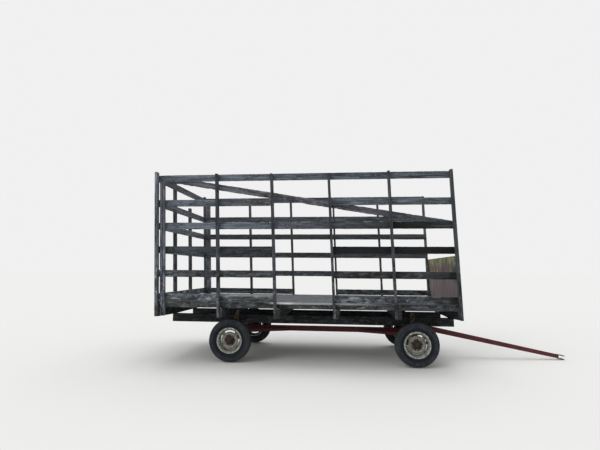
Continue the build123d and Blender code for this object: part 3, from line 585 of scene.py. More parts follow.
def make_steel(name, rust_amount, worn_shade, bright_edges):
    """Bare steel under rust: brown skin, dark pits, and a duller grey where hands or pins rub it."""
    material, tree, shader, spot = start_material(name)
    bloom = use(tree, rust_bloom, {"Place": spot, "Patch Size": 0.05, "Amount": rust_amount})
    rubbed = bare_mask(tree, spot, 0.01, bright_edges)
    base = mix(tree, bloom["Rust"], colour(52, 45, 42), bloom["Rust Colour"])
    base = mix(tree, rubbed, base, worn_shade)
    base = mix(tree, cover_mask(tree, spot, 0.1, 0.35), base, colour(92, 88, 80))
    tree.links.new(maths(tree, "MULTIPLY", rubbed, 0.7), shader.inputs["Metallic"])
    connect(tree, shader, base, ramp(tree, rubbed, 0.0, 1.0, 0.88, 0.5), bloom["Pits"], 0.0008)
    return material


red_paint = make_paint("red_paint", colour(68, 19, 31), colour(100, 44, 52), 0.46, 0.6, 0.65)
bare_steel = make_steel("bare_steel", 0.62, colour(104, 100, 98), 0.35)
hub_rust = make_steel("hub_rust", 0.42, colour(80, 74, 66), 0.2)
nail_steel = make_steel("nail_steel", 0.5, colour(92, 88, 86), 0.3)
print("gear finishes:", [material.name for material in (red_paint, bare_steel, hub_rust, nail_steel)])

# %% [markdown]
# ## Wheel paint
# The wheel discs are chalky white round a rusted centre. The hollow between the nuts and the flange is
# painted darker, and the well behind the disc nearly black, as the shade that lies there. Almost everything
# depends on how far a point is from the axle, so the mesh carries that radius, and ramps on it draw every
# ring. Rings from object coordinates would fail, because the four wheels share one material and each has a
# centre of its own.


# %% Make the wheel paint
def make_rim_paint():
    """Chalky white wheel paint that gives way to rust round the hub, with painted shade in the hollow and
    well.
    """
    material, tree, shader, spot = start_material("rim_paint")
    bloom = use(tree, rust_bloom, {"Place": spot, "Patch Size": 0.04, "Amount": 0.42})
    radius = read(tree, "radius", "Fac")
    ragged = maths(tree, "MULTIPLY_ADD", noise(tree, spot, 38.0, 4.0, 0.7), 0.060, radius)
    chalk = ramp(tree, noise(tree, spot, 22.0, 5.0, 0.7), 0.3, 0.7)
    base = mix(tree, chalk, colour(98, 101, 94), colour(184, 188, 178))
    # Painted shade: the hollow between the nuts and the flange is painted darker, as the shade in it
    past_nuts, before_flange = ramp(tree, radius, 0.102, 0.122), ramp(tree, radius, 0.190, 0.174, 0.0, 0.6)
    base = layer(tree, base, past_nuts, before_flange, colour(60, 58, 50))
    base = mix(tree, ramp(tree, ragged, 0.150, 0.116, 0.0, 0.4), base, colour(98, 80, 66))
    rusty = maths(tree, "MAXIMUM", bloom["Rust"], bare_mask(tree, spot, 0.02, 0.3))
    rusty = maths(tree, "MAXIMUM", rusty, ramp(tree, ragged, 0.136, 0.110))
    base = mix(tree, rusty, base, bloom["Rust Colour"])
    grime = ramp(tree, noise(tree, spot, 9.0, 4.0), 0.5, 0.75, 0.0, 0.45)
    base = mix(tree, grime, base, colour(72, 70, 64))
    # Painted shade: the well behind the disc's face is painted nearly black
    base = mix(tree, read(tree, "soot", "Fac"), base, colour(16, 16, 15))
    rough = ramp(tree, rusty, 0.0, 1.0, 0.6, 0.92)
    connect(tree, shader, base, rough, maths(tree, "MULTIPLY", rusty, bloom["Pits"]), 0.001)
    return material


rim_paint = make_rim_paint()
print("wheel paint:", len(rim_paint.node_tree.nodes), "nodes")

# %% [markdown]
# ## Rubber
# Old tyres are blue-grey, dusty on the walls, and with dry soil between the lugs, and the sidewall near the
# bead is painted dark, as the shade where it curves in towards the rim. One plain colour would look new, and
# a painted picture would need the tyre unrolled. The tyre's mesh carries its radius as the disc's does, so
# ramps on it place all of this, and a fine net of cracks is the bump.


# %% Make the rubber
def make_rubber():
    """Old tyre rubber: blue-grey, painted shade at the bead, dusty walls, dry soil between the lugs."""
    material, tree, shader, spot = start_material("tyre_rubber")
    radius = read(tree, "radius", "Fac")
    cloud = noise(tree, spot, 14.0, 5.0, 0.7)
    base = mix(tree, ramp(tree, cloud, 0.3, 0.7), colour(25, 31, 38), colour(40, 47, 55))
    outer_wall = ramp(tree, radius, 0.24, 0.28, 0.0, 0.4)
    base = layer(tree, base, ramp(tree, cloud, 0.42, 0.66), outer_wall, colour(68, 72, 78))
    # Painted shade: the sidewall is painted dark towards the bead, where it curves in
    base = mix(tree, ramp(tree, radius, 0.282, 0.240, 0.0, 0.8), base, colour(11, 14, 16))
    between_lugs = maths(tree, "MULTIPLY", ramp(tree, radius, 0.348, 0.338), ramp(tree, radius, 0.318, 0.330))
    base = layer(tree, base, between_lugs, 0.6, colour(70, 66, 58))
    cracks = put(tree, "ShaderNodeTexVoronoi", {"Vector": spot, "Scale": 90.0}, feature="DISTANCE_TO_EDGE")
    fine = ramp(tree, cracks.outputs["Distance"], 0.0, 0.08)
    connect(tree, shader, base, ramp(tree, cloud, 0.3, 0.7, 0.82, 0.95), fine, 0.0006)
    return material


tyre_rubber = make_rubber()
print("materials:", len(bpy.data.materials))

# %% [markdown]
# ## From fixed solids to worn boards
# Each wooden node of the fixed model holds several straight boards with sharp edges, and every board gets a
# worn one in its place. First the node is taken apart into its solids. Its mesh is loose triangles, so
# doubled corners are merged, and then all corners that hang together by edges are one solid.


# %% Take a fixed piece apart
def loose_parts(node):
    """The corners of each separate solid of a fixed piece, with doubled corners merged."""
    whole = bmesh.new()
    whole.from_mesh(nodes[node].data)
    bmesh.ops.remove_doubles(whole, verts=whole.verts, dist=2e-6)
    whole.verts.ensure_lookup_table()
    found, parts = set(), []
    for start in whole.verts:
        if start.index in found:
            continue
        group, waiting = {start.index}, [start]
        while waiting:
            for edge in waiting.pop().link_edges:
                for vert in edge.verts:
                    if vert.index not in group:
                        group.add(vert.index)
                        waiting.append(vert)
        found |= group
        parts.append([whole.verts[index].co.copy() for index in sorted(group)])
    whole.free()
    return parts


print("solids in the near side's rails:", len(loose_parts("side_rails_right")))

# %% [markdown]
# ## Measuring a board
# A worn board is swept along the old board's middle line. The middle lines could be typed in again, but a
# copied number goes wrong when the model changes, so they are measured: the four corners at each end give
# the end points, the height across and the thickness.


# %% Measure the boards of a fixed piece
def span(corners, axis):
    """The lowest and the highest value of one coordinate."""
    values = [corner[axis] for corner in corners]
    return min(values), max(values)


def middle_of(corners):
    """The mean of some corners."""
    return sum(corners, Vector()) / len(corners)


def measure_board(corners, facing):
    """Both ends of a board's middle line, its height across and its thickness along facing."""
    lengths = [high - low for low, high in (span(corners, axis) for axis in range(3))]
    long_axis = lengths.index(max(lengths))
    ordered = sorted(corners, key=lambda corner: corner[long_axis])
    low_end, high_end = ordered[:4], ordered[-4:]
    start, end = middle_of(low_end), middle_of(high_end)
    across = facing.cross((end - start).normalized()).normalized()
    heights = [(corner - start).dot(across) for corner in low_end]
    depths = [(corner - start).dot(facing) for corner in low_end]
    return start, end, max(heights) - min(heights), max(depths) - min(depths)


def boards_of(node, facing):
    """All boards of a fixed piece, lowest first and then from the rear to the front."""
    boards = [measure_board(corners, Vector(facing)) for corners in loose_parts(node)]
    return sorted(boards, key=lambda board: (round(board[0].z, 1), round(board[0].x, 2), board[0].y))


lowest_rail = boards_of("side_rails_right", (0, 1, 0))[0]
print("lowest rail board, height and thickness:", [round(size, 3) for size in lowest_rail[2:]])

# %% [markdown]
# ## Start meshes
# A geometry tree works on a mesh that it is given: for boards their middle lines, for nails only the points
# where they sit. What differs from point to point, such as the way a nail faces, could be an input of the
# tree, but then each nail would need a run of its own. Stored on the points, all of it goes in at once.


# %% Make a start mesh
def set_points(mesh, **columns):
    """Store named values, each a number or a vector, one for each point of a mesh."""
    for name, values in columns.items():
        if isinstance(values[0], float):
            attribute = mesh.attributes.new(name, "FLOAT", "POINT")
            attribute.data.foreach_set("value", values)
        else:
            attribute = mesh.attributes.new(name, "FLOAT_VECTOR", "POINT")
            attribute.data.foreach_set("vector", [number for value in values for number in value])


def start_mesh(name, points, links, **columns):
    """Points and the edges between them, with the values that each point carries."""
    mesh = bpy.data.meshes.new(name)
    mesh.from_pydata([tuple(point) for point in points], links, [])
    set_points(mesh, **columns)
    return mesh


print("meshes so far:", len(bpy.data.meshes))

# %% [markdown]
# ## Running a geometry tree
# A geometry tree could stay on its object as a live modifier, but then only Blender could show its result. So
# every tree is run once on its start mesh, and what it makes is kept as a plain mesh. The inputs are set
# through the identifiers of their sockets, which stay unique where labels may not.


# %% Run a geometry tree and keep its result
def labelled(sizes):
    """Named values under the labels of their sockets, so nut_radius goes with Nut Radius."""
    return {name.replace("_", " ").title(): value for name, value in sizes.items()}


def grow(name, start, tree, material, **sizes):
    """Run a geometry tree on a start mesh and return the result as a plain mesh."""
    values = {"Material": material, **labelled(sizes)}
    seed = bpy.data.objects.new(name + "_start", start)
    scene.collection.objects.link(seed)
    modifier = seed.modifiers.new(tree.name, "NODES")
    modifier.node_group = tree
    for socket in tree.interface.items_tree:
        if socket.in_out == "INPUT" and socket.name in values:
            modifier[socket.identifier] = values[socket.name]
    evaluated = seed.evaluated_get(bpy.context.evaluated_depsgraph_get())
    mesh = bpy.data.meshes.new_from_object(evaluated)
    mesh.name = name
    seed.modifiers.remove(modifier)
    bpy.data.objects.remove(seed)
    return mesh


print("label that goes with nut_radius:", *labelled({"nut_radius": 0.0}))

# %% [markdown]
# ## Finished pieces
# A finished mesh is put on the body that it moves with, and the fixed pieces that it stands for are hidden.
# This could be written out for each piece, but it is easily forgotten for one.


# %% Put a finished mesh in the scene
def settle(name, mesh, body, slot, *replaced):
    """Put a finished mesh in the scene on its body and hide the fixed pieces it stands for; slot is not used.
    """
    piece = bpy.data.objects.new(name, mesh)
    scene.collection.objects.link(piece)
    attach(piece, body)
    if replaced:
        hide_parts(*replaced)
    return piece


# %% [markdown]
# ## Steps that geometry trees share
# All the trees here start and end alike: a start mesh, sizes and a material go in, and real, painted geometry
# comes out. Values that differ from point to point, such as a facing direction, travel as named attributes.


# %% Define the shared steps of geometry trees
def new_tree(name, **sizes):
    """A geometry tree that takes a start mesh, these sizes and a material."""
    inputs = {"Geometry": "Geometry", **labelled(sizes), "Material": "Material"}
    return new_group(name, "GeometryNodeTree", inputs, {"Geometry": "Geometry"})


def end_tree(tree, given, result, geometry):
    """Turn instances into real geometry, paint it and make it the tree's result."""
    real = wire(tree, "GeometryNodeRealizeInstances", {0: geometry})
    painted = wire(tree, "GeometryNodeSetMaterial", {0: real, "Material": given["Material"]})
    return end_group(tree, result, {"Geometry": painted})


def stored(tree, name, data_type="FLOAT"):
    """A value that the start mesh or an earlier step has stored."""
    return wire(tree, "GeometryNodeInputNamedAttribute", {0: name}, data_type=data_type)


def store(tree, geometry, name, value, data_type="FLOAT_VECTOR"):
    """Geometry with a value stored on its points."""
    sockets = {0: geometry, "Name": name, "Value": value}
    return wire(tree, "GeometryNodeStoreNamedAttribute", sockets, data_type=data_type)


def shifted(tree, geometry, offset):
    """Geometry with every point moved by an offset."""
    return wire(tree, "GeometryNodeSetPosition", {0: geometry, "Offset": offset})


print("groups and trees so far:", [group.name for group in bpy.data.node_groups])

# %% [markdown]
# ## A tree that makes worn boards
# A board leaves the saw with a square section and loses its corners over the years. The tree sweeps a
# rectangle with rounded corners along each middle line, and pushes the surface in where noise says that it is
# worn. A sweep suits boards, because the points along the length come at an even step, however long a board
# is. On the way the tree stores what the wood materials read: a grain place and a place in the section.


# %% Build the tree that makes worn boards
def make_board_tree():
    """Sweep a rounded section along every edge, wear it, and store what the wood materials read."""
    sizes = {"height": 0.1, "thickness": 0.02, "rounding": 0.003, "step": 0.1, "warp": 0.002, "nibble": 0.002}
    tree, given, result = new_tree("Worn boards", **sizes)
    facing = stored(tree, "facing", "FLOAT_VECTOR")
    lines = wire(tree, "GeometryNodeMeshToCurve", {0: given["Geometry"]})
    even = {0: lines, "Length": given["Step"]}
    lines = wire(tree, "GeometryNodeResampleCurve", even, mode="LENGTH")
    lines = wire(tree, "GeometryNodeSetCurveNormal", {0: lines, "Normal": facing}, mode="FREE")
    spline = put(tree, "GeometryNodeSplineParameter").outputs
    lines = store(tree, lines, "along", spline["Length"], "FLOAT")

    corners = {0: given["Thickness"], 1: given["Height"]}
    outline = wire(tree, "GeometryNodeCurvePrimitiveQuadrilateral", corners)
    rounding = {0: outline, "Count": 2, "Radius": given["Rounding"], "Limit Radius": True}
    outline = wire(tree, "GeometryNodeFilletCurve", rounding, mode="POLY")
    outline = store(tree, outline, "across", wire(tree, "GeometryNodeInputPosition"))
    sweep = {0: lines, "Profile Curve": outline, "Fill Caps": True}
    board = wire(tree, "GeometryNodeCurveToMesh", sweep)

    across = parts_of(tree, stored(tree, "across", "FLOAT_VECTOR"))
    luck = stored(tree, "luck")
    shift = stretch(tree, vector_of(tree, luck, luck, luck), (37.0, 11.0, 5.0))
    local = vector_of(tree, stored(tree, "along"), across[1], across[0])
    grain = wire(tree, "ShaderNodeVectorMath", {0: local, 1: shift}, operation="ADD")
    board = store(tree, board, "grain", grain)
    halves = [maths(tree, "MULTIPLY", given[label], 0.5) for label in ("Thickness", "Height")]
    shares = [maths(tree, "DIVIDE", across[axis], half) for axis, half in enumerate(halves)]
    board = store(tree, board, "section", vector_of(tree, *shares, 0.0))

    bow = noise(tree, stretch(tree, grain, (0.9, 0.0, 0.0)), 1.0, 1.0)
    board = shifted(tree, board, scaled(tree, facing, maths(tree, "MULTIPLY", bow, given["Warp"])))
    bite = ramp(tree, noise(tree, grain, 14.0, 3.0, 0.7), 0.42, 0.75)
    inward = maths(tree, "MULTIPLY", bite, maths(tree, "MULTIPLY", given["Nibble"], -1.0))
    normal = wire(tree, "GeometryNodeInputNormal")
    board = shifted(tree, board, scaled(tree, normal, inward))
    board = wire(tree, "GeometryNodeSetShadeSmooth", {0: board, "Shade Smooth": False})
    return end_tree(tree, given, result, board)


board_tree = make_board_tree()
print("board tree:", len(board_tree.nodes), "nodes")

# %% [markdown]
# ## The near boards' tones and painted shade
# No two boards weathered alike, and their tones also carry painted shade, from the light they stood in. On
# the near side the fourth board from the top is the darkest, and towards the front it is nearly black. The
# second one turns reddish where it ends at the third post. The two lowest boards are painted nearly black
# where they end at the front post, as that post's painted shadow. Painting them one by one would tie the
# colours to these meshes, so a short table gives such boards their tint at a few places along them, and the
# tree carries it to every point between.

# %% Write down the near boards' shades
# Each board, lowest first and then rear to front: its stops of (share along it, tone, warmth, moss), and
# where its upper edge carries a painted highlight of sunlight, how strong it is
near_shades = {
    "side_rails_right": {
        0: ((0.0, -0.15, 0.0, 0.2), (1.0, 0.30, 0.1, 0.1)),
        # The lowest rail's second run carries a faint painted highlight of sunlight along its upper edge
        1: ((0.0, 0.05, 0.0, 0.1, 0.25), (0.5, -0.27, 0.1, 0.1, 0.25), (1.0, 0.0, 0.0, 0.2, 0.25)),
        2: ((0.0, 0.08, 0.0, 0.0), (1.0, -0.15, 0.2, 0.1)),
        # Its front end is painted nearly black, as the front post's painted shadow
        3: ((0.0, -0.18, 0.1, 0.1), (0.4, -0.38, 0.1, 0.1), (0.8, -0.66, 0.0, 0.1), (0.88, -0.90, 0.0, 0.0),
            (1.0, -0.90, 0.0, 0.0)),
        4: ((0.0, 0.30, 0.0, 0.1), (0.20, 0.15, 0.0, 0.1), (0.35, -0.60, 0.2, 0.2), (1.0, -0.60, 0.1, 0.1)),
        5: ((0.0, -0.48, 0.0, 0.1), (0.5, -0.70, 0.2, 0.1), (1.0, -0.10, 0.1, 0.1)),
        6: ((0.0, -0.70, 0.3, 0.1), (1.0, -0.72, 0.2, 0.1)),
        # Its front end is painted nearly black, as the front post's painted shadow
        7: ((0.0, -0.85, 0.1, 0.1), (0.5, -0.68, 0.3, 0.1), (0.84, -0.82, 0.2, 0.1), (0.88, -0.94, 0.0, 0.1),
            (1.0, -0.94, 0.0, 0.1)),
        8: ((0.0, -0.82, 0.0, 0.0), (0.5, -0.50, 0.0, 0.0), (1.0, -0.59, 0.0, 0.0)),
        9: ((0.0, -0.64, 0.0, 0.0), (0.5, -0.70, 0.0, 0.0), (1.0, -0.62, 0.2, 0.0)),
        10: ((0.0, -0.93, 0.2, 0.0), (1.0, -0.95, 0.2, 0.0)),
        11: ((0.0, -0.05, 0.0, 0.0), (1.0, 0.45, 0.0, 0.0)),
        12: ((0.0, 0.35, 0.0, 0.0), (0.5, -0.15, 0.1, 0.1), (1.0, -0.77, 0.1, 0.1)),
        13: ((0.0, -0.95, 0.2, 0.0), (0.5, -0.91, 0.1, 0.1), (1.0, -0.50, 0.0, 0.1)),
        14: ((0.0, -0.42, 0.0, 0.0), (0.5, 0.12, 0.0, 0.0), (1.0, 0.08, 0.0, 0.0)),
        15: ((0.0, -0.10, 0.1, 0.1), (0.7, -0.10, 0.3, 0.1), (1.0, -0.20, 0.9, 0.0)),
        16: ((0.0, 0.0, 0.0, 0.0), (1.0, 0.10, 0.0, 0.0)),
        17: ((0.0, 0.27, 0.0, 0.0), (0.5, 0.08, 0.0, 0.0), (1.0, 0.30, 0.0, 0.0)),
        18: ((0.0, 0.35, 0.0, 0.0), (0.5, 0.0, 0.0, 0.0), (1.0, -0.10, 0.0, 0.1)),
    },
    "side_posts_right": {
        0: ((0.0, 0.35, 0.0, 0.2), (1.0, 0.40, 0.0, 0.0)),
        1: ((0.0, -0.35, 0.2, 0.0), (1.0, -0.55, 0.0, 0.0)),
        2: ((0.0, -0.35, 0.2, 0.0), (1.0, -0.55, 0.0, 0.0)),
        3: ((0.0, -0.50, 0.2, 0.0), (1.0, -0.50, 0.1, 0.0)),
        4: ((0.0, -0.55, 0.2, 0.0), (1.0, -0.50, 0.0, 0.0)),
        5: ((0.0, -0.62, 0.1, 0.2), (0.3, -0.55, 0.0, 0.2), (1.0, -0.50, 0.0, 0.1)),
    },
    # The near rim board's upper edge carries a painted highlight of sunlight along its middle
    "rim_boards": {
        0: ((0.0, -0.42, 0.0, 0.3), (0.38, -0.62, 0.0, 0.2), (0.40, -0.68, 0.0, 0.1, 0.9),
            (0.45, -0.68, 0.0, 0.1, 0.9), (0.47, -0.70, 0.0, 0.1, 0.4), (0.57, -0.64, 0.0, 0.1, 0.4),
            (0.66, -0.52, 0.0, 0.1, 0.3), (0.73, -0.25, 0.0, 0.1, 0.15), (0.78, -0.40, 0.1, 0.1),
            (0.85, -0.58, 0.1, 0.1), (1.0, -0.66, 0.0, 0.1)),
    },
    "side_brace": {
        0: ((0.0, 0.10, 0.1, 0.0), (0.30, 0.15, 0.4, 0.0), (0.36, 0.0, 1.0, 0.0), (0.42, -0.10, 0.5, 0.0),
            (0.70, -0.20, 0.4, 0.0), (1.0, -0.30, 0.1, 0.2)),
    },
}
print("boards with shades of their own:", sum(len(table) for table in near_shades.values()))

# %% [markdown]
# ## Dressing the boards
# Rails, posts, planks and studs are all boards, so one table row each is enough: how finely a board is
# divided, how far its edges are rounded, warped and nibbled, and its usual tone and moss. Boards without
# shades of their own draw them at random, from a seed that is the node's name.


# %% Dress the boards
def lay_boards(node, facing, step, rounding, warp, nibble, tone, moss):
    """Replace a fixed piece's boards with worn ones and return their measured lines."""
    measured = boards_of(node, facing)
    shades = near_shades.get(node, {})
    draw = random.Random(node)
    points, links, tints, suns, luck = [], [], [], [], []
    for index, board in enumerate(measured):
        usual = (tone + draw.uniform(-0.13, 0.13), draw.uniform(0.0, 0.25), moss * draw.uniform(0.3, 1.0))
        chance = draw.random()
        stops = shades.get(index, ((0.0, *usual), (1.0, *usual)))
        links += [(len(points) + i, len(points) + i + 1) for i in range(len(stops) - 1)]
        for share, *tint in stops:
            points.append(board[0].lerp(board[1], share))
            tints.append(tint[:3])
            # A fifth value is the strength of a painted highlight of sunlight on the board's upper edge
            suns.append(tint[3] if len(tint) > 3 else 0.0)
            luck.append(chance)
    facings = [facing] * len(points)
    lines = start_mesh(node + "_lines", points, links, facing=facings, tint=tints, sun=suns, luck=luck)
    height, thickness = measured[0][2:]
    sizes = {"height": height, "thickness": thickness, "rounding": rounding}
    worn = grow(node + "_worn", lines, board_tree, board_wood, step=step, warp=warp, nibble=nibble, **sizes)
    settle(node + "_worn", worn, "wagon", "grey_wood", node)
    return measured


board_table = (
    # node, facing, step, rounding, warp, nibble, tone, moss
    ("side_rails_right", (0, 1, 0), 0.05, 0.004, 0.003, 0.004, 0.0, 0.2),
    # The far rails' low tone is partly painted shade, as their inner faces lie in shade
    ("side_rails_left", (0, -1, 0), 0.05, 0.004, 0.003, 0.004, -0.35, 0.2),
    ("rear_rails", (1, 0, 0), 0.05, 0.004, 0.003, 0.004, 0.10, 0.1),
    ("side_brace", (0, 1, 0), 0.035, 0.005, 0.004, 0.013, 0.05, 0.1),
    ("deck_planks", (0, 0, 1), 0.12, 0.004, 0.0, 0.002, -0.15, 0.4),
    ("rim_boards", (0, 1, 0), 0.08, 0.005, 0.0, 0.003, -0.40, 0.4),
    # The long sills' dark tone is partly painted shade, the shade under the deck
    ("long_sills", (0, 1, 0), 0.12, 0.005, 0.0, 0.002, -0.72, 0.2),
    ("side_posts_right", (1, 0, 0), 0.07, 0.004, 0.002, 0.003, -0.45, 0.0),
    ("side_posts_left", (1, 0, 0), 0.07, 0.004, 0.002, 0.003, -0.40, 0.0),
    ("rear_posts", (1, 0, 0), 0.07, 0.004, 0.0, 0.003, -0.40, 0.0),
    ("corner_studs", (0, 1, 0), 0.07, 0.004, 0.0, 0.003, 0.1, 0.0),
    ("front_uprights", (1, 0, 0), 0.07, 0.004, 0.0, 0.002, -0.3, 0.2),
)
boards = {}
for node, *wear in board_table:
    boards[node] = lay_boards(node, *wear)
    print(node, len(boards[node]), "boards, first", [round(v, 3) for v in boards[node][0][2:]])

# %% [markdown]
# ## Worn copies of the shaped pieces
# Notched sills, tapered stakes, yokes, plates and wheel discs have shapes that a sweep can't follow. Here a
# copy of the fixed mesh is cleaned, and every sharp edge gets a small bevel. A bevel catches the light as a
# real edge does, and its faces are marked, so that the paint can chip exactly there. The fixed mesh is loose
# triangles, so the copy's doubled corners are merged before anything else.


# %% Bevel a copy of a fixed piece
def plain_mesh(shape, name):
    """What bmesh has built, as a plain mesh."""
    mesh = bpy.data.meshes.new(name)
    shape.to_mesh(mesh)
    shape.free()
    return mesh


def shade(mesh, degrees, material):
    """Smooth shading up to this angle between faces, and one material."""
    mesh.shade_smooth()
    mesh.set_sharp_from_angle(angle=math.radians(degrees))
    mesh.materials.clear()
    mesh.materials.append(material)


def worn_copy(node, body, rounding, material, slot, grain_axes="XYZ", tone=0.0):
    """Replace a fixed piece with a bevelled copy that carries grain, section and tint."""
    shape = bmesh.new()
    shape.from_mesh(nodes[node].data)
    bmesh.ops.remove_doubles(shape, verts=shape.verts, dist=2e-6)
    flat_angle, sharp_angle = math.radians(0.5), math.radians(32)
    bmesh.ops.dissolve_limit(shape, angle_limit=flat_angle, verts=shape.verts, edges=shape.edges)
    sharp = [edge for edge in shape.edges if edge.is_manifold and edge.calc_face_angle() > sharp_angle]
    rounded = {"offset": rounding, "segments": 2, "profile": 0.5, "affect": "EDGES", "clamp_overlap": True}
    made = bmesh.ops.bevel(shape, geom=sharp, **rounded)
    section = shape.loops.layers.float_vector.new("section")
    for face in made["faces"]:
        for loop in face.loops:
            loop[section] = (1, 1, 0)
    mesh = plain_mesh(shape, node + "_worn")
    draw = random.Random(node)
    shift = Vector([draw.uniform(0, 20) for _ in range(3)])
    order = ["XYZ".index(axis) for axis in grain_axes]
    spots = [Vector([vert.co[axis] for axis in order]) + shift for vert in mesh.vertices]
    set_points(mesh, grain=spots, tint=[(tone, draw.uniform(0.0, 0.3), 0.2)] * len(spots))
    shade(mesh, 20, material)
    return settle(node + "_worn", mesh, body, slot, node)


# %% [markdown]
# ## Dressing the sills, the panel and the running gear
# The axles, bolsters and hounds are folded or welded steel, and the cross sills and stakes are cut by hand.
# They could each have a cell of their own. But they differ only in how far their edges are rounded, in their
# finish and in the way their grain runs, so one table row each will do.

# %% Dress the timber, the gear and the steering
shaped_table = (
    # node, body, bevel, material, slot, and for timber the axes along and across its grain, and its tone
    # The cross sills' dark tone is partly painted shade, the shade under the deck
    ("cross_sills", "wagon", 0.004, board_wood, "grey_wood", "YXZ", -0.78),
    ("bolster_stakes", "wagon", 0.004, ochre_wood, "ochre_wood", "ZXY"),
    ("front_panel", "wagon", 0.002, panel_plywood, "panel_plywood", "ZYX"),
    ("front_axle", "wagon", 0.003, red_paint, "red_paint"),
    ("rear_axle", "wagon", 0.003, red_paint, "red_paint"),
    ("front_bolster", "wagon", 0.005, red_paint, "red_paint"),
    ("rear_bolster", "wagon", 0.005, red_paint, "red_paint"),
    ("bolster_spacers", "wagon", 0.003, red_paint, "red_paint"),
    ("reach", "wagon", 0.002, red_paint, "red_paint"),
    ("front_hounds", "wagon", 0.003, red_paint, "red_paint"),
    ("rear_hounds", "wagon", 0.003, red_paint, "red_paint"),
    ("axle_pins", "wagon", 0.0015, bare_steel, "bare_steel"),
    ("knuckle_right", "knuckle_right", 0.002, bare_steel, "bare_steel"),
    ("knuckle_left", "knuckle_left", 0.002, bare_steel, "bare_steel"),
    ("tie_rod_right", "tie_rod_right", 0.0015, bare_steel, "bare_steel"),
    ("tie_rod_left", "tie_rod_left", 0.0015, bare_steel, "bare_steel"),
    ("steering_plate", "steering", 0.002, red_paint, "red_paint"),
    ("tongue_pin", "steering", 0.0015, bare_steel, "bare_steel"),
    ("tongue", "tongue", 0.004, red_paint, "red_paint"),
    ("hitch_clevis", "tongue", 0.002, bare_steel, "bare_steel"),
)
for row in shaped_table:
    piece = worn_copy(*row)
    print(piece.name, len(piece.data.polygons), "faces")

# %% [markdown]
# ## Heads of nails, bolts and nuts
# More than five hundred fasteners hold the rack together: flat nail heads, mushroom bolts, and nuts on
# washers. A head could be a finished mesh, but then every size of it would be a mesh of its own. Built from
# nodes, its sizes are inputs of its tree, and it has only the few faces that so many copies allow.


# %% Shape the heads
def lifted(tree, geometry, height, scale=(1, 1, 1)):
    """Geometry moved up along its own axis."""
    sockets = {0: geometry, "Translation": vector_of(tree, 0.0, 0.0, height), "Scale": scale}
    return wire(tree, "GeometryNodeTransform", sockets)


def nail_head(tree, given):
    """A flat head whose lower half is driven into the wood."""
    sockets = {"Vertices": 8, "Radius Bottom": given["Radius"], "Depth": given["Height"]}
    sockets["Radius Top"] = maths(tree, "MULTIPLY", given["Radius"], 0.75)
    head = wire(tree, "GeometryNodeMeshCone", sockets)
    return lifted(tree, head, maths(tree, "MULTIPLY", given["Height"], -0.5))


def bolt_dome(tree, given):
    """A mushroom head: a flattened sphere whose lower half is inside the wood."""
    ball = wire(tree, "GeometryNodeMeshUVSphere", {0: 12, 1: 6, 2: given["Radius"]})
    return lifted(tree, ball, 0.0, (1, 1, 0.45))


def standing(tree, corners, radius, height, foot):
    """An upright cylinder whose lower end is at the height of its foot."""
    sockets = {"Vertices": corners, "Radius": radius, "Depth": height}
    solid = wire(tree, "GeometryNodeMeshCylinder", sockets)
    return lifted(tree, solid, maths(tree, "MULTIPLY_ADD", height, 0.5, foot))


def nut_stack(tree, given):
    """A washer, a six-sided nut and the end of the bolt, one on the other."""
    washer = standing(tree, 14, given["Washer Radius"], given["Washer Height"], 0.0)
    nut = standing(tree, 6, given["Nut Radius"], given["Nut Height"], given["Washer Height"])
    thread = standing(tree, 8, given["Thread Radius"], given["Thread Length"], 0.0)
    join = put(tree, "GeometryNodeJoinGeometry")
    for part in (thread, nut, washer):
        tree.links.new(part, join.inputs[0])
    return join.outputs[0]


print("heads:", [head.__name__ for head in (nail_head, bolt_dome, nut_stack)])

# %% [markdown]
# ## Fastener trees
# Each kind of fastener is one geometry tree that sets a head on every point and turns it to that point's
# facing direction, with a little random tilt as when driven by hand. Placing them by hand would be slow and
# never line up. The points come from where the measured boards cross, so every head sits on its board.


# %% Build the fastener trees
def rotation(tree, axis, angle):
    """A turn by an angle about an axis."""
    return wire(tree, "FunctionNodeAxisAngleToRotation", {0: axis, 1: angle})


def turned_further(tree, start, axis, angle):
    """A rotation followed by a turn about one of the piece's own axes."""
    sockets = {0: start, 1: rotation(tree, axis, angle)}
    return wire(tree, "FunctionNodeRotateRotation", sockets, rotation_space="LOCAL")


along_x, along_z = (1, 0, 0), (0, 0, 1)


def make_fastener_tree(name, build_head, tilt, **sizes):
    """A tree that puts a head on each point, turned along the point's facing."""
    tree, given, result = new_tree(name, **sizes, seed=1)
    facing = {"Vector": stored(tree, "facing", "FLOAT_VECTOR")}
    aim = wire(tree, "FunctionNodeAlignRotationToVector", facing, axis="Z")
    full_turn = {2: 0.0, 3: 6.28, "Seed": given["Seed"]}
    spin = put(tree, "FunctionNodeRandomValue", full_turn, data_type="FLOAT").outputs[1]
    set_by_hand = turned_further(tree, turned_further(tree, aim, along_z, spin), along_x, tilt)
    heads = {0: given["Geometry"], "Instance": build_head(tree, given), "Rotation": set_by_hand}
    return end_tree(tree, given, result, wire(tree, "GeometryNodeInstanceOnPoints", heads))


nail_tree = make_fastener_tree("Nail heads", nail_head, tilt=0.09, radius=0.005, height=0.002)
dome_tree = make_fastener_tree("Bolt domes", bolt_dome, tilt=0.02, radius=0.014)
nut_tree = make_fastener_tree(
    "Nuts on washers", nut_stack, tilt=0.0, nut_radius=0.012, nut_height=0.01,
    washer_radius=0.018, washer_height=0.002, thread_radius=0.006, thread_length=0.02,
)
print("fastener trees:", [tree.name for tree in (nail_tree, dome_tree, nut_tree)])

# %% [markdown]
# ## Putting fasteners in their places
# A fastener sits on a board's face, over whatever carries the board there. Each could be a piece of its own,
# but the scene would then hold hundreds. All places of one kind go into one start mesh, so they become one
# piece. A place is a point and the way its head faces, and points are found along the boards' middle lines.


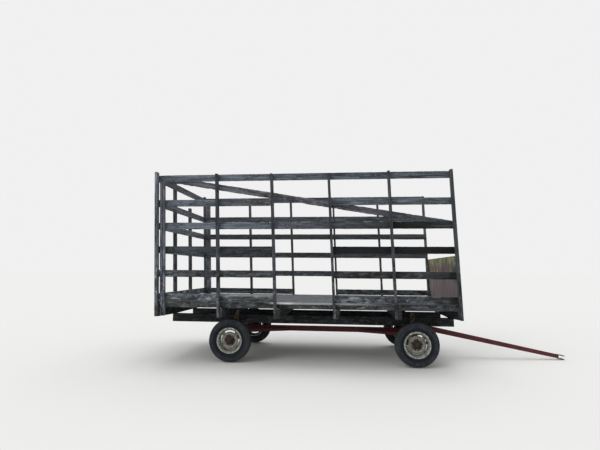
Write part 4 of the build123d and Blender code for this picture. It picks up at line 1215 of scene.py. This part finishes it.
# %% Place fasteners on boards
def side_of(spot):
    """1 on the wagon's left side and -1 on its right side."""
    return 1 if spot.y > 0 else -1


def fasten(name, body, tree, places, **sizes):
    """Put heads of one kind at (point, facing) places."""
    points, facings = zip(*places)
    spots = start_mesh(name + "_spots", points, [], facing=facings)
    mesh = grow(name, spots, tree, nail_steel, seed=len(places), **sizes)
    print(name, len(places), "fasteners,", len(mesh.polygons), "faces")
    return settle(name, mesh, body, "bare_steel")


def point_at(board, axis, value):
    """The point of a board's middle line where one coordinate has this value."""
    start, end = board[:2]
    return start.lerp(end, (value - start[axis]) / (end[axis] - start[axis]))


rearmost_post = boards["side_posts_right"][0]
print("rearmost near post, two metres up:", [round(v, 3) for v in point_at(rearmost_post, 2, 2.0)])

# %% [markdown]
# ## Nailing the rails and the brace
# Farm boards are face-nailed, two nails where a board crosses a post. A nail close to a board's end would
# split it, so where a rail stops at a post its nails move in from the end. The rear rails are nailed to the
# rear posts, the corner studs into the rear rails' ends, and the foremost posts to their sill's end.


# %% Nail the rails and the brace
def rail_nails(rails, posts, inward, thickness):
    """Two nails where a rail crosses a post, kept off the ends of the rail."""
    past_end, end_gap, nail_rises = 0.03, 0.014, (-0.032, 0.030)
    places = []
    for rail in rails:
        start, end = rail[:2]
        for post in posts:
            x = point_at(post, 2, start.z).x
            if start.x - past_end < x < end.x + past_end:
                x = min(max(x, start.x + end_gap), end.x - end_gap)
                on_rail = point_at(rail, 0, x)
                for rise in nail_rises:
                    spot = Vector((x, on_rail.y + inward * thickness / 2, on_rail.z + rise))
                    places.append((spot, (0, inward, 0)))
    return places


near_posts, far_posts = boards["side_posts_right"], boards["side_posts_left"]
board_thickness = boards["side_rails_right"][0][3]
places = rail_nails(boards["side_rails_right"], near_posts, 1, board_thickness)
places += rail_nails(boards["side_rails_left"], far_posts, -1, board_thickness)
places += rail_nails(boards["side_brace"], near_posts, 1, board_thickness)
for rail in boards["rear_rails"]:
    middle = rail[0].lerp(rail[1], 0.5)
    for post in boards["rear_posts"]:
        for side_step in (-0.025, 0.025):
            spot = Vector((middle.x + board_thickness / 2, post[0].y + side_step, middle.z + side_step))
            places.append((spot, (1, 0, 0)))
stud_nail_rise = 0.02
for stud in boards["corner_studs"]:
    side = side_of(stud[0])
    for rail in boards["rear_rails"]:
        if rail[0].z < stud[1].z:
            spot = point_at(stud, 2, rail[0].z + stud_nail_rise)
            spot.y += side * stud[3] / 2
            places.append((spot, (0, side, 0)))
long_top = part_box("long_sills")[1].z
for post in (near_posts[-1], far_posts[-1]):
    for rise in (0.05, 0.085, 0.12):
        foot = point_at(post, 2, long_top + rise)
        places.append((foot - Vector((post[3] / 2, 0, 0)), (-1, 0, 0)))
fasten("rail_nails", "wagon", nail_tree, places, radius=0.0055, height=0.003)

# %% [markdown]
# ## Nailing the deck and the front panel
# Each plank has two nails in every cross sill. A geometry tree could scatter them, but nails belong over the
# sills, so their places are worked out. A row of nails set by eye is never straight, so each place wanders by
# a few millimetres. The panel leans, and its nails step back with it as they go up.

# %% Nail the deck and the front panel
deck_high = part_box("deck_planks")[1].z
sill_parts = sorted(loose_parts("cross_sills"), key=lambda corners: corners[0].x)
sill_spans = [span(corners, 0) for corners in sill_parts]
sill_middles = [(low + high) / 2 for low, high in sill_spans]
sill_half = (sill_spans[0][1] - sill_spans[0][0]) / 2
draw = random.Random("deck nails")
places = []
for plank in boards["deck_planks"]:
    for x in sill_middles:
        for side_step in (-0.042, 0.042):
            x_nail = x + draw.uniform(-0.01, 0.01)
            y_nail = plank[0].y + side_step + draw.uniform(-0.006, 0.006)
            places.append((Vector((x_nail, y_nail, deck_high)), (0, 0, 1)))
fasten("deck_nails", "wagon", nail_tree, places, radius=0.005, height=0.003)

panel_low, panel_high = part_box("front_panel")
panel_height = panel_high.z - panel_low.z
panel_corners = loose_parts("front_panel")[0]
foot_xs = [corner.x for corner in panel_corners if corner.z < panel_low.z + 0.01]
top_xs = [corner.x for corner in panel_corners if corner.z > panel_high.z - 0.01]
lean = (max(foot_xs) - max(top_xs)) / panel_height
post_line, upright_lines = 1.2075, (-0.44, -0.40, 0.40, 0.44)
nails_a_line, edge_gap = 6, 0.05
nail_step = (panel_height - 2 * edge_gap) / (nails_a_line - 1)
# Nails into the side posts from the front, and into the two uprights from the rear
nail_lines = [(y, max(foot_xs), 1) for y in (-post_line, post_line)]
nail_lines += [(y, min(foot_xs), -1) for y in upright_lines]
places = []
for y, foot_x, facing in nail_lines:
    for step in range(nails_a_line):
        rise = edge_gap + step * nail_step
        places.append((Vector((foot_x - lean * rise, y, panel_low.z + rise)), (facing, 0, 0)))
fasten("panel_nails", "wagon", nail_tree, places, radius=0.005, height=0.003)

# %% [markdown]
# ## Bolting the posts, the stakes and the gear
# A post carries the load of its whole side, so its foot is bolted through the cross sill: a mushroom head on
# the post's face and a nut behind the sill. Both ends of a bolt are worked out from one place, so they stay
# in line.

# %% Bolt the posts, the stakes and the gear
bolt_rises, bolt_steps = (0.075, 0.130), (-0.022, 0.022)
# The rearmost post's bolts keep outside the corner studs, and the foremost post is nailed to its sill's end
steps_by_post = [(0.022, 0.026)] + 4 * [bolt_steps]
heads, nuts = [], []
for group in (near_posts, far_posts):
    for post, x, steps in zip(group, sill_middles, steps_by_post):
        side = side_of(post[0])
        for rise, side_step in zip(bolt_rises, steps):
            foot = point_at(post, 2, long_top + rise)
            foot.y += side * side_step
            heads.append((foot - Vector((post[3] / 2, 0, 0)), (-1, 0, 0)))
            nuts.append((Vector((x + sill_half, foot.y, foot.z)), (1, 0, 0)))
for post in boards["rear_posts"]:
    for rise, side_step in zip((0.06, 0.18), bolt_steps):
        foot = point_at(post, 2, long_top + rise)
        heads.append((Vector((foot.x - post[3] / 2, foot.y + side_step, foot.z)), (-1, 0, 0)))
        nuts.append((Vector((sill_middles[0] + sill_half, foot.y + side_step, foot.z)), (1, 0, 0)))
bolster_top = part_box("front_bolster")[1].z
for corners in loose_parts("bolster_stakes"):
    middle = middle_of(corners)
    side = side_of(middle)
    outer = max(abs(corner.y) for corner in corners)
    for x_step, drop in ((-0.018, 0.03), (0.018, 0.06)):
        heads.append((Vector((middle.x + x_step, side * outer, bolster_top - drop)), (0, side, 0)))
fasten("bolt_domes", "wagon", dome_tree, heads, radius=0.013)

flange_half = 0.03
for hound, direction in (("front_hounds", 1), ("rear_hounds", -1)):
    low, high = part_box(hound)
    axle_end = high.x if direction > 0 else low.x
    for side in (-1, 1):
        y_middle = side * (max(abs(low.y), abs(high.y)) - flange_half)
        for step in (0.02, 0.065):
            nuts.append((Vector((axle_end - direction * step, y_middle, high.z)), (0, 0, 1)))
fasten("bolt_nuts", "wagon", nut_tree, nuts)

# %% [markdown]
# ## Tyres
# A wheel is three pieces that turn together: the tyre, the pressed disc with its rim, and the hub. A real
# tyre is moulded, and its section is the same all the way round. So the carcass is turned from a half
# section, which is surer than bending a strip into a ring, because the ring closes by itself.


# %% Turn a tyre's section round its axle
def turned(section, segments):
    """A closed ring turned about the Y axis from (radius, offset) corners."""
    shape = bmesh.new()
    rings = []
    for step in range(segments):
        angle = 2 * math.pi * step / segments
        rings.append([shape.verts.new((r * math.cos(angle), y, r * math.sin(angle))) for r, y in section])
    count = len(section)
    for here, there in zip(rings, rings[1:] + rings[:1]):
        for i in range(count):
            j = (i + 1) % count
            shape.faces.new((here[i], here[j], there[j], there[i]))
    bmesh.ops.recalc_face_normals(shape, faces=shape.faces)
    return plain_mesh(shape, "turned")


tyre_low, tyre_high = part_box("tyre_front_right")
tyre_radius = (tyre_high.z - tyre_low.z) / 2
tyre_half_width = (tyre_high.y - tyre_low.y) / 2
crown_drop = 0.008
# Half section of the carcass: radius below the crown and offset inside the widest point
half_section = (
    (0.157, 0.0365), (0.156, 0.0290), (0.146, 0.0275), (0.139, 0.0275), (0.134, 0.0180),
    (0.124, 0.0115), (0.110, 0.0055), (0.092, 0.0018), (0.088, 0.0006), (0.074, 0.0006),
    (0.070, 0.0016), (0.055, 0.0040), (0.052, 0.0028), (0.044, 0.0042), (0.042, 0.0068),
    (0.030, 0.0105), (0.0265, 0.0150), (0.0205, 0.0240), (0.0155, 0.0380), (0.0110, 0.0560),
    (0.0085, 0.0760),
)
sidewall = [(tyre_radius - drop, tyre_half_width - inset) for drop, inset in half_section]
section = sidewall + [(tyre_radius - crown_drop, 0.0)] + [(r, -y) for r, y in reversed(sidewall)]
carcass = turned(section, 96)
print("carcass:", len(carcass.polygons), "faces")

# %% [markdown]
# ## Tread
# A worn farm tyre still has rows of blocks round its crown, and these a turned section can't show. Each row
# is one point with its place, size, stagger and skew. A geometry tree copies that point round the tyre and
# stands a tapered block on every copy, leaning with the crown.


# %% Build the tread tree
def make_tread_tree():
    """Rows of tapered blocks round the Y axis: each start point is one row."""
    tree, given, result = new_tree("Tread blocks", blocks_round=60)
    copies = {0: given["Geometry"], "Amount": given["Blocks Round"]}
    rows = put(tree, "GeometryNodeDuplicateElements", copies, domain="POINT")
    place = maths(tree, "ADD", rows.outputs[1], stored(tree, "stagger"))
    angle = maths(tree, "MULTIPLY", maths(tree, "DIVIDE", place, given["Blocks Round"]), 2 * math.pi)
    reach = stored(tree, "reach")
    flat = [maths(tree, "MULTIPLY", reach, maths(tree, part, angle)) for part in ("COSINE", "SINE")]
    spot = vector_of(tree, flat[0], stored(tree, "offset"), flat[1])
    moved = wire(tree, "GeometryNodeSetPosition", {0: rows.outputs[0], "Position": spot})

    # A third of a turn about the diagonal moves each axis to the next, which stands the block on the tread
    facing = rotation(tree, (0, -1, 0), angle)
    facing = turned_further(tree, facing, along_z, stored(tree, "tilt"))
    facing = turned_further(tree, facing, (1, 1, 1), 2 * math.pi / 3)
    facing = turned_further(tree, facing, along_z, stored(tree, "skew"))
    cone = {"Vertices": 4, "Radius Top": 0.62, "Radius Bottom": 0.74, "Depth": 1.0}
    block = wire(tree, "GeometryNodeMeshCone", cone)
    square = {0: block, "Rotation": rotation(tree, along_z, math.pi / 4)}
    block = wire(tree, "GeometryNodeTransform", square)
    copies = {0: moved, "Instance": block, "Rotation": facing, "Scale": stored(tree, "size", "FLOAT_VECTOR")}
    return end_tree(tree, given, result, wire(tree, "GeometryNodeInstanceOnPoints", copies))


tread_tree = make_tread_tree()
print("tread tree:", len(tread_tree.nodes), "nodes")

# %% [markdown]
# ## Rows of blocks on the crown
# The tread has five rows: one in the middle and two on each side, out to the shoulders. A row further out
# lies nearer to the axle and leans more. Both could be typed in for each row, but a parabola gives them for
# any row from two numbers, so a row can be moved freely.

# %% Lay the rows of tread blocks
block_height, block_length, top_gap = 0.012, 0.031, 0.0004
# The crown is a parabola that falls by the first number at the second one's distance from its middle
crown_fall, crown_half = 0.018, 0.082
row_table = (
    # offset of a row from the middle, width, stagger, skew
    (0.0, 0.026, 0.0, 0.25),
    (0.035, 0.027, 0.5, -0.2),
    (-0.035, 0.027, 0.5, 0.2),
    (0.067, 0.026, 0.0, 0.0),
    (-0.067, 0.026, 0.0, 0.0),
)
tread_rows = []
for offset, width, stagger, skew in row_table:
    tilt = math.atan(2 * crown_fall * offset / crown_half ** 2)
    fall = crown_fall * (offset / crown_half) ** 2
    reach = tyre_radius - top_gap - fall - block_height * math.cos(tilt)
    tread_rows.append((offset, reach, tilt, stagger, skew, (width, block_length, block_height)))
columns = dict(zip(("offset", "reach", "tilt", "stagger", "skew", "size"), zip(*tread_rows)))
rows_mesh = start_mesh("tread_rows", [(0, 0, 0)] * len(tread_rows), [], **columns)
tread = grow("tread", rows_mesh, tread_tree, tyre_rubber, blocks_round=60)
print("tread:", len(tread.polygons), "faces, highest", max(v.co.length for v in tread.vertices))

# %% [markdown]
# ## Putting the wheels together
# Carcass and tread are made once, about the origin, and copied to the four wheels. Sharing one mesh would be
# lighter, but every piece here keeps its place in its own points, so each wheel gets a mesh of its own. The
# disc also carries a mask of painted shade, which paints the well behind its face nearly black, as the shade
# that lies there.


# %% Put the tyres on their wheels
def radii_about(mesh, axle):
    """How far each point of a mesh is from an axle that runs along Y."""
    return [math.hypot(vert.co.x - axle.x, vert.co.z - axle.z) for vert in mesh.vertices]


def joined(meshes, name, move):
    """Several meshes as one, moved to their place."""
    shape = bmesh.new()
    for mesh in meshes:
        shape.from_mesh(mesh)
    bmesh.ops.translate(shape, verts=shape.verts, vec=move)
    return plain_mesh(shape, name)


well_radius, disc_back = 0.187, 0.0215
wheels = {}
for wheel in ("front_right", "front_left", "rear_right", "rear_left"):
    low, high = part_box("rim_" + wheel)
    middle = wheels[wheel] = (low + high) / 2
    tyre = joined((carcass, tread), "tyre_" + wheel + "_worn", middle)
    set_points(tyre, radius=radii_about(tyre, middle))
    shade(tyre, 32, tyre_rubber)
    tyre.polygons.foreach_set("material_index", [0] * len(tyre.polygons))
    settle(tyre.name, tyre, "wheel_" + wheel, "tyre_rubber", "tyre_" + wheel)
    rim = worn_copy("rim_" + wheel, "wheel_" + wheel, 0.0012, rim_paint, "rim_paint").data
    radii = radii_about(rim, middle)
    outward = [abs(vert.co.y) - abs(middle.y) for vert in rim.vertices]
    # Points in the well behind the disc's face take painted shade
    soot = [float(r < well_radius and y < disc_back) for r, y in zip(radii, outward)]
    set_points(rim, radius=radii, soot=soot)
    worn_copy("hub_" + wheel, "wheel_" + wheel, 0.0015, hub_rust, "hub_rust")
print("wheels:", {name: [round(v, 3) for v in spot] for name, spot in wheels.items()})

# %% [markdown]
# ## Small turned parts
# Valve stems and grease nipples are turned on a lathe, and so are their sections here: corners given as a
# radius and a place along the axis. They could be stacked from cylinders, but the helper that turned the
# tyre's section makes them too. A copy is set on each place, with its axis along the facing direction.


# %% Turn valves and nipples
def turned_solid(section, segments, spots, material):
    """Copies of one small turned solid, each set on a point with its axis along a facing."""
    single = turned(section, segments)
    shape = bmesh.new()
    for spot, facing in spots:
        turn = Vector((0, 1, 0)).rotation_difference(Vector(facing)).to_matrix().to_4x4()
        copy = single.copy()
        copy.transform(turn)
        copy.transform(Matrix.Translation(spot))
        shape.from_mesh(copy)
    bmesh.ops.remove_doubles(shape, verts=shape.verts, dist=1e-5)
    bmesh.ops.recalc_face_normals(shape, faces=shape.faces)
    mesh = plain_mesh(shape, "turned_solid")
    shade(mesh, 35, material)
    return mesh


valve_section = ((0, 0), (0.0055, 0), (0.0050, 0.016), (0.0038, 0.020), (0.0038, 0.026))
valve_section += ((0.0048, 0.0262), (0.0048, 0.037), (0.0036, 0.039), (0, 0.039))
nipple_section = ((0, -0.002), (0.0055, -0.002), (0.0055, 0.005), (0.0030, 0.006), (0.0030, 0.010))
nipple_section += ((0.0042, 0.012), (0.0030, 0.015), (0, 0.016))
print("valve stem and nipple stand out by", valve_section[-1][1], "and", nipple_section[-1][1], "m")

# %% [markdown]
# ## Wheel nuts and valves
# Five nuts hold each disc to its hub, and a valve stem points outwards from the rim's well. The nuts come
# from the same tree as those on the rack. How far out they sit could be typed in, but it is read from the
# fixed disc's flat, so that they bear on it. All of them ride on their wheel.

# %% Add the wheel nuts and the valves
nut_circle, nut_count, disc_flat = 0.066, 5, 0.0905
stem_across, stem_out = 0.119, 0.031
# The rubber takes its tone from the radius, and a stem is as plain as the tyre's wall at this one
wall_radius = 0.3
for wheel, middle in wheels.items():
    side = side_of(middle)
    rim = nodes["rim_" + wheel].data
    flat = [v.co.y for v, radius in zip(rim.vertices, radii_about(rim, middle)) if radius < disc_flat]
    face_y = max(flat, key=abs)
    places = []
    for step in range(nut_count):
        angle = 2 * math.pi * (step + 0.25) / nut_count
        around, up = nut_circle * math.cos(angle), nut_circle * math.sin(angle)
        places.append((Vector((middle.x + around, face_y, middle.z + up)), (0, side, 0)))
    fasten("wheel_nuts_" + wheel, "wheel_" + wheel, nut_tree, places, nut_radius=0.0125, nut_height=0.014,
           washer_radius=0.0155, thread_radius=0.0065, thread_length=0.026)
    stem = Vector((middle.x + stem_across, middle.y + side * stem_out, middle.z + stem_across))
    valve = turned_solid(valve_section, 10, [(stem, (0, side, 0))], tyre_rubber)
    set_points(valve, radius=[wall_radius] * len(valve.vertices))
    settle("valve_" + wheel, valve, "wheel_" + wheel, "tyre_rubber")

# %% [markdown]
# ## Grease nipples
# Each kingpin is greased through a nipple on its top. The pins are the solids of one fixed piece, so their
# tops are measured from it, and both nipples become one piece that rides on the wagon as the pins do.

# %% Add the grease nipples
pin_spots = []
for corners in loose_parts("axle_pins"):
    middle = middle_of(corners)
    pin_spots.append((Vector((middle.x, middle.y, span(corners, 2)[1])), (0, 0, 1)))
nipples = turned_solid(nipple_section, 10, pin_spots, bare_steel)
settle("grease_nipples", nipples, "wagon", "bare_steel")
print("grease nipples:", len(pin_spots))

# %% [markdown]
# ## Nuts on the steering studs
# Each tie rod turns on two studs, one on the steering plate and one on a knuckle's arm, and a nut keeps it
# there. A stud's end could be typed in, but it would be wrong as soon as a rod changed. So it is found from
# the corners of the plate or arm around it, and the nut goes on that end.


# %% Put nuts on the studs
def heights_near(node, x, reach):
    """Heights of a fixed piece's corners within reach of this x."""
    return [vert.co.z for vert in nodes[node].data.vertices if abs(vert.co.x - x) < reach]


rod_eye, arm_eye = 0.026, 0.022
plate_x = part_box("tie_rod_right")[1].x - rod_eye
heights = heights_near("steering_plate", plate_x, 0.03)
stud_ends = {"steering": [((plate_x, 0, max(heights)), (0, 0, 1)), ((plate_x, 0, min(heights)), (0, 0, -1))]}
stud_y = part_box("tie_rod_left")[1].y - rod_eye
for body, side, farthest in (("knuckle_right", -1, min), ("knuckle_left", 1, max)):
    stud_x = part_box(body)[1].x - arm_eye
    tip = farthest(heights_near(body, stud_x, 0.0215))
    stud_ends[body] = [((stud_x, side * stud_y, tip), (0, 0, side))]
for body, spots in stud_ends.items():
    fasten("stud_nuts_" + body, body, nut_tree, spots, nut_radius=0.013, nut_height=0.009,
           washer_radius=0.012, washer_height=0.001, thread_radius=0.006, thread_length=0.013)

# %% [markdown]
# ## Weld beads
# A weld is a row of overlapping ripples, and a geometry tree lays it: the joint's line is divided at an even
# step, and a small ball stands on every point, so that the balls run together into a bead. A plain tube would
# be lighter but would look like a wire.


# %% Build the weld tree
def make_weld_tree():
    """Ripples of molten metal along every edge of the start mesh."""
    tree, given, result = new_tree("Weld bead", bead_radius=0.0045, ripple_step=0.004, seed=3)
    line = wire(tree, "GeometryNodeMeshToCurve", {0: given["Geometry"]})
    ripples = {0: line, "Length": given["Ripple Step"]}
    points = put(tree, "GeometryNodeCurveToPoints", ripples, mode="LENGTH").outputs
    ball = wire(tree, "GeometryNodeMeshIcoSphere", {0: given["Bead Radius"], 1: 1})
    sizes = {2: 0.8, 3: 1.15, "Seed": given["Seed"]}
    grown = put(tree, "FunctionNodeRandomValue", sizes, data_type="FLOAT").outputs[1]
    balls = {0: points[0], "Instance": ball, "Rotation": points["Rotation"], "Scale": grown}
    return end_tree(tree, given, result, wire(tree, "GeometryNodeInstanceOnPoints", balls))


def weld(name, body, lines):
    """Lay a bead along straight lines, given as pairs of points."""
    links = [(2 * i, 2 * i + 1) for i in range(len(lines))]
    path = start_mesh(name + "_path", [point for line in lines for point in line], links)
    mesh = grow(name, path, weld_tree, red_paint)
    print(name, len(lines), "beads,", len(mesh.polygons), "faces")
    return settle(name, mesh, body, "red_paint")


weld_tree = make_weld_tree()
print("weld tree:", len(weld_tree.nodes), "nodes")

# %% [markdown]
# ## Welding on the clevis, the bracket and the ears
# The clevis, the pivot bracket and the ears are welded on. A bead fills the corner between two parts, so its
# line could be drawn by hand on each. Found from the boxes and the corners of both parts instead, it stays in
# the corner when a part changes.

# %% Lay the weld beads
tongue_end = sorted(loose_parts("tongue")[0], key=lambda corner: -corner.x)[:4]
middle_z = middle_of(tongue_end).z
around = sorted(tongue_end, key=lambda corner: math.atan2(corner.z - middle_z, corner.y))
weld("clevis_weld", "tongue", list(zip(around, around[1:] + around[:1])))

bead_out, bracket_half, bracket_reach = 0.002, 0.045, 0.02
front_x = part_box("front_bolster")[1].x + bead_out
axle_corners = [vert.co for vert in nodes["front_axle"].data.vertices]
jaw_heights = {round(corner.z, 4) for corner in axle_corners if corner.x > front_x + bracket_reach}
jaw_ends = (min(jaw_heights), max(jaw_heights))
lines = [((front_x, -bracket_half, z), (front_x, bracket_half, z)) for z in jaw_ends]
weld("bracket_weld", "wagon", lines)

pin_low, pin_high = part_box("tongue_pin")
pin_x = (pin_low.x + pin_high.x) / 2
tongue_low, tongue_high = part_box("tongue")
ear_gap, ear_thickness, ear_half = 0.001, 0.012, 0.046
ear_faces = [tongue_high.y + ear_gap + ear_thickness, tongue_low.y - ear_gap - ear_thickness]
heights = heights_near("steering_plate", pin_x, 0.05)
# The ears stand on the plate's top, which is the next height above its underside
plate_top = min(height for height in heights if height > min(heights) + 0.005)
lines = [((pin_x - ear_half, y, plate_top), (pin_x + ear_half, y, plate_top)) for y in ear_faces]
weld("ear_weld", "steering", lines)

# %% [markdown]
# ## Sizes
# A worn piece loses material and never gains any, so the dressed wagon must not be larger than the fixed one.
# Both boxes are printed side by side before the end.

# %% Print the boxes and finish
dressed_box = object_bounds()
for name, box in (("fixed", cad_box), ("dressed", dressed_box)):
    print(name, [[round(value, 4) for value in corner] for corner in box])
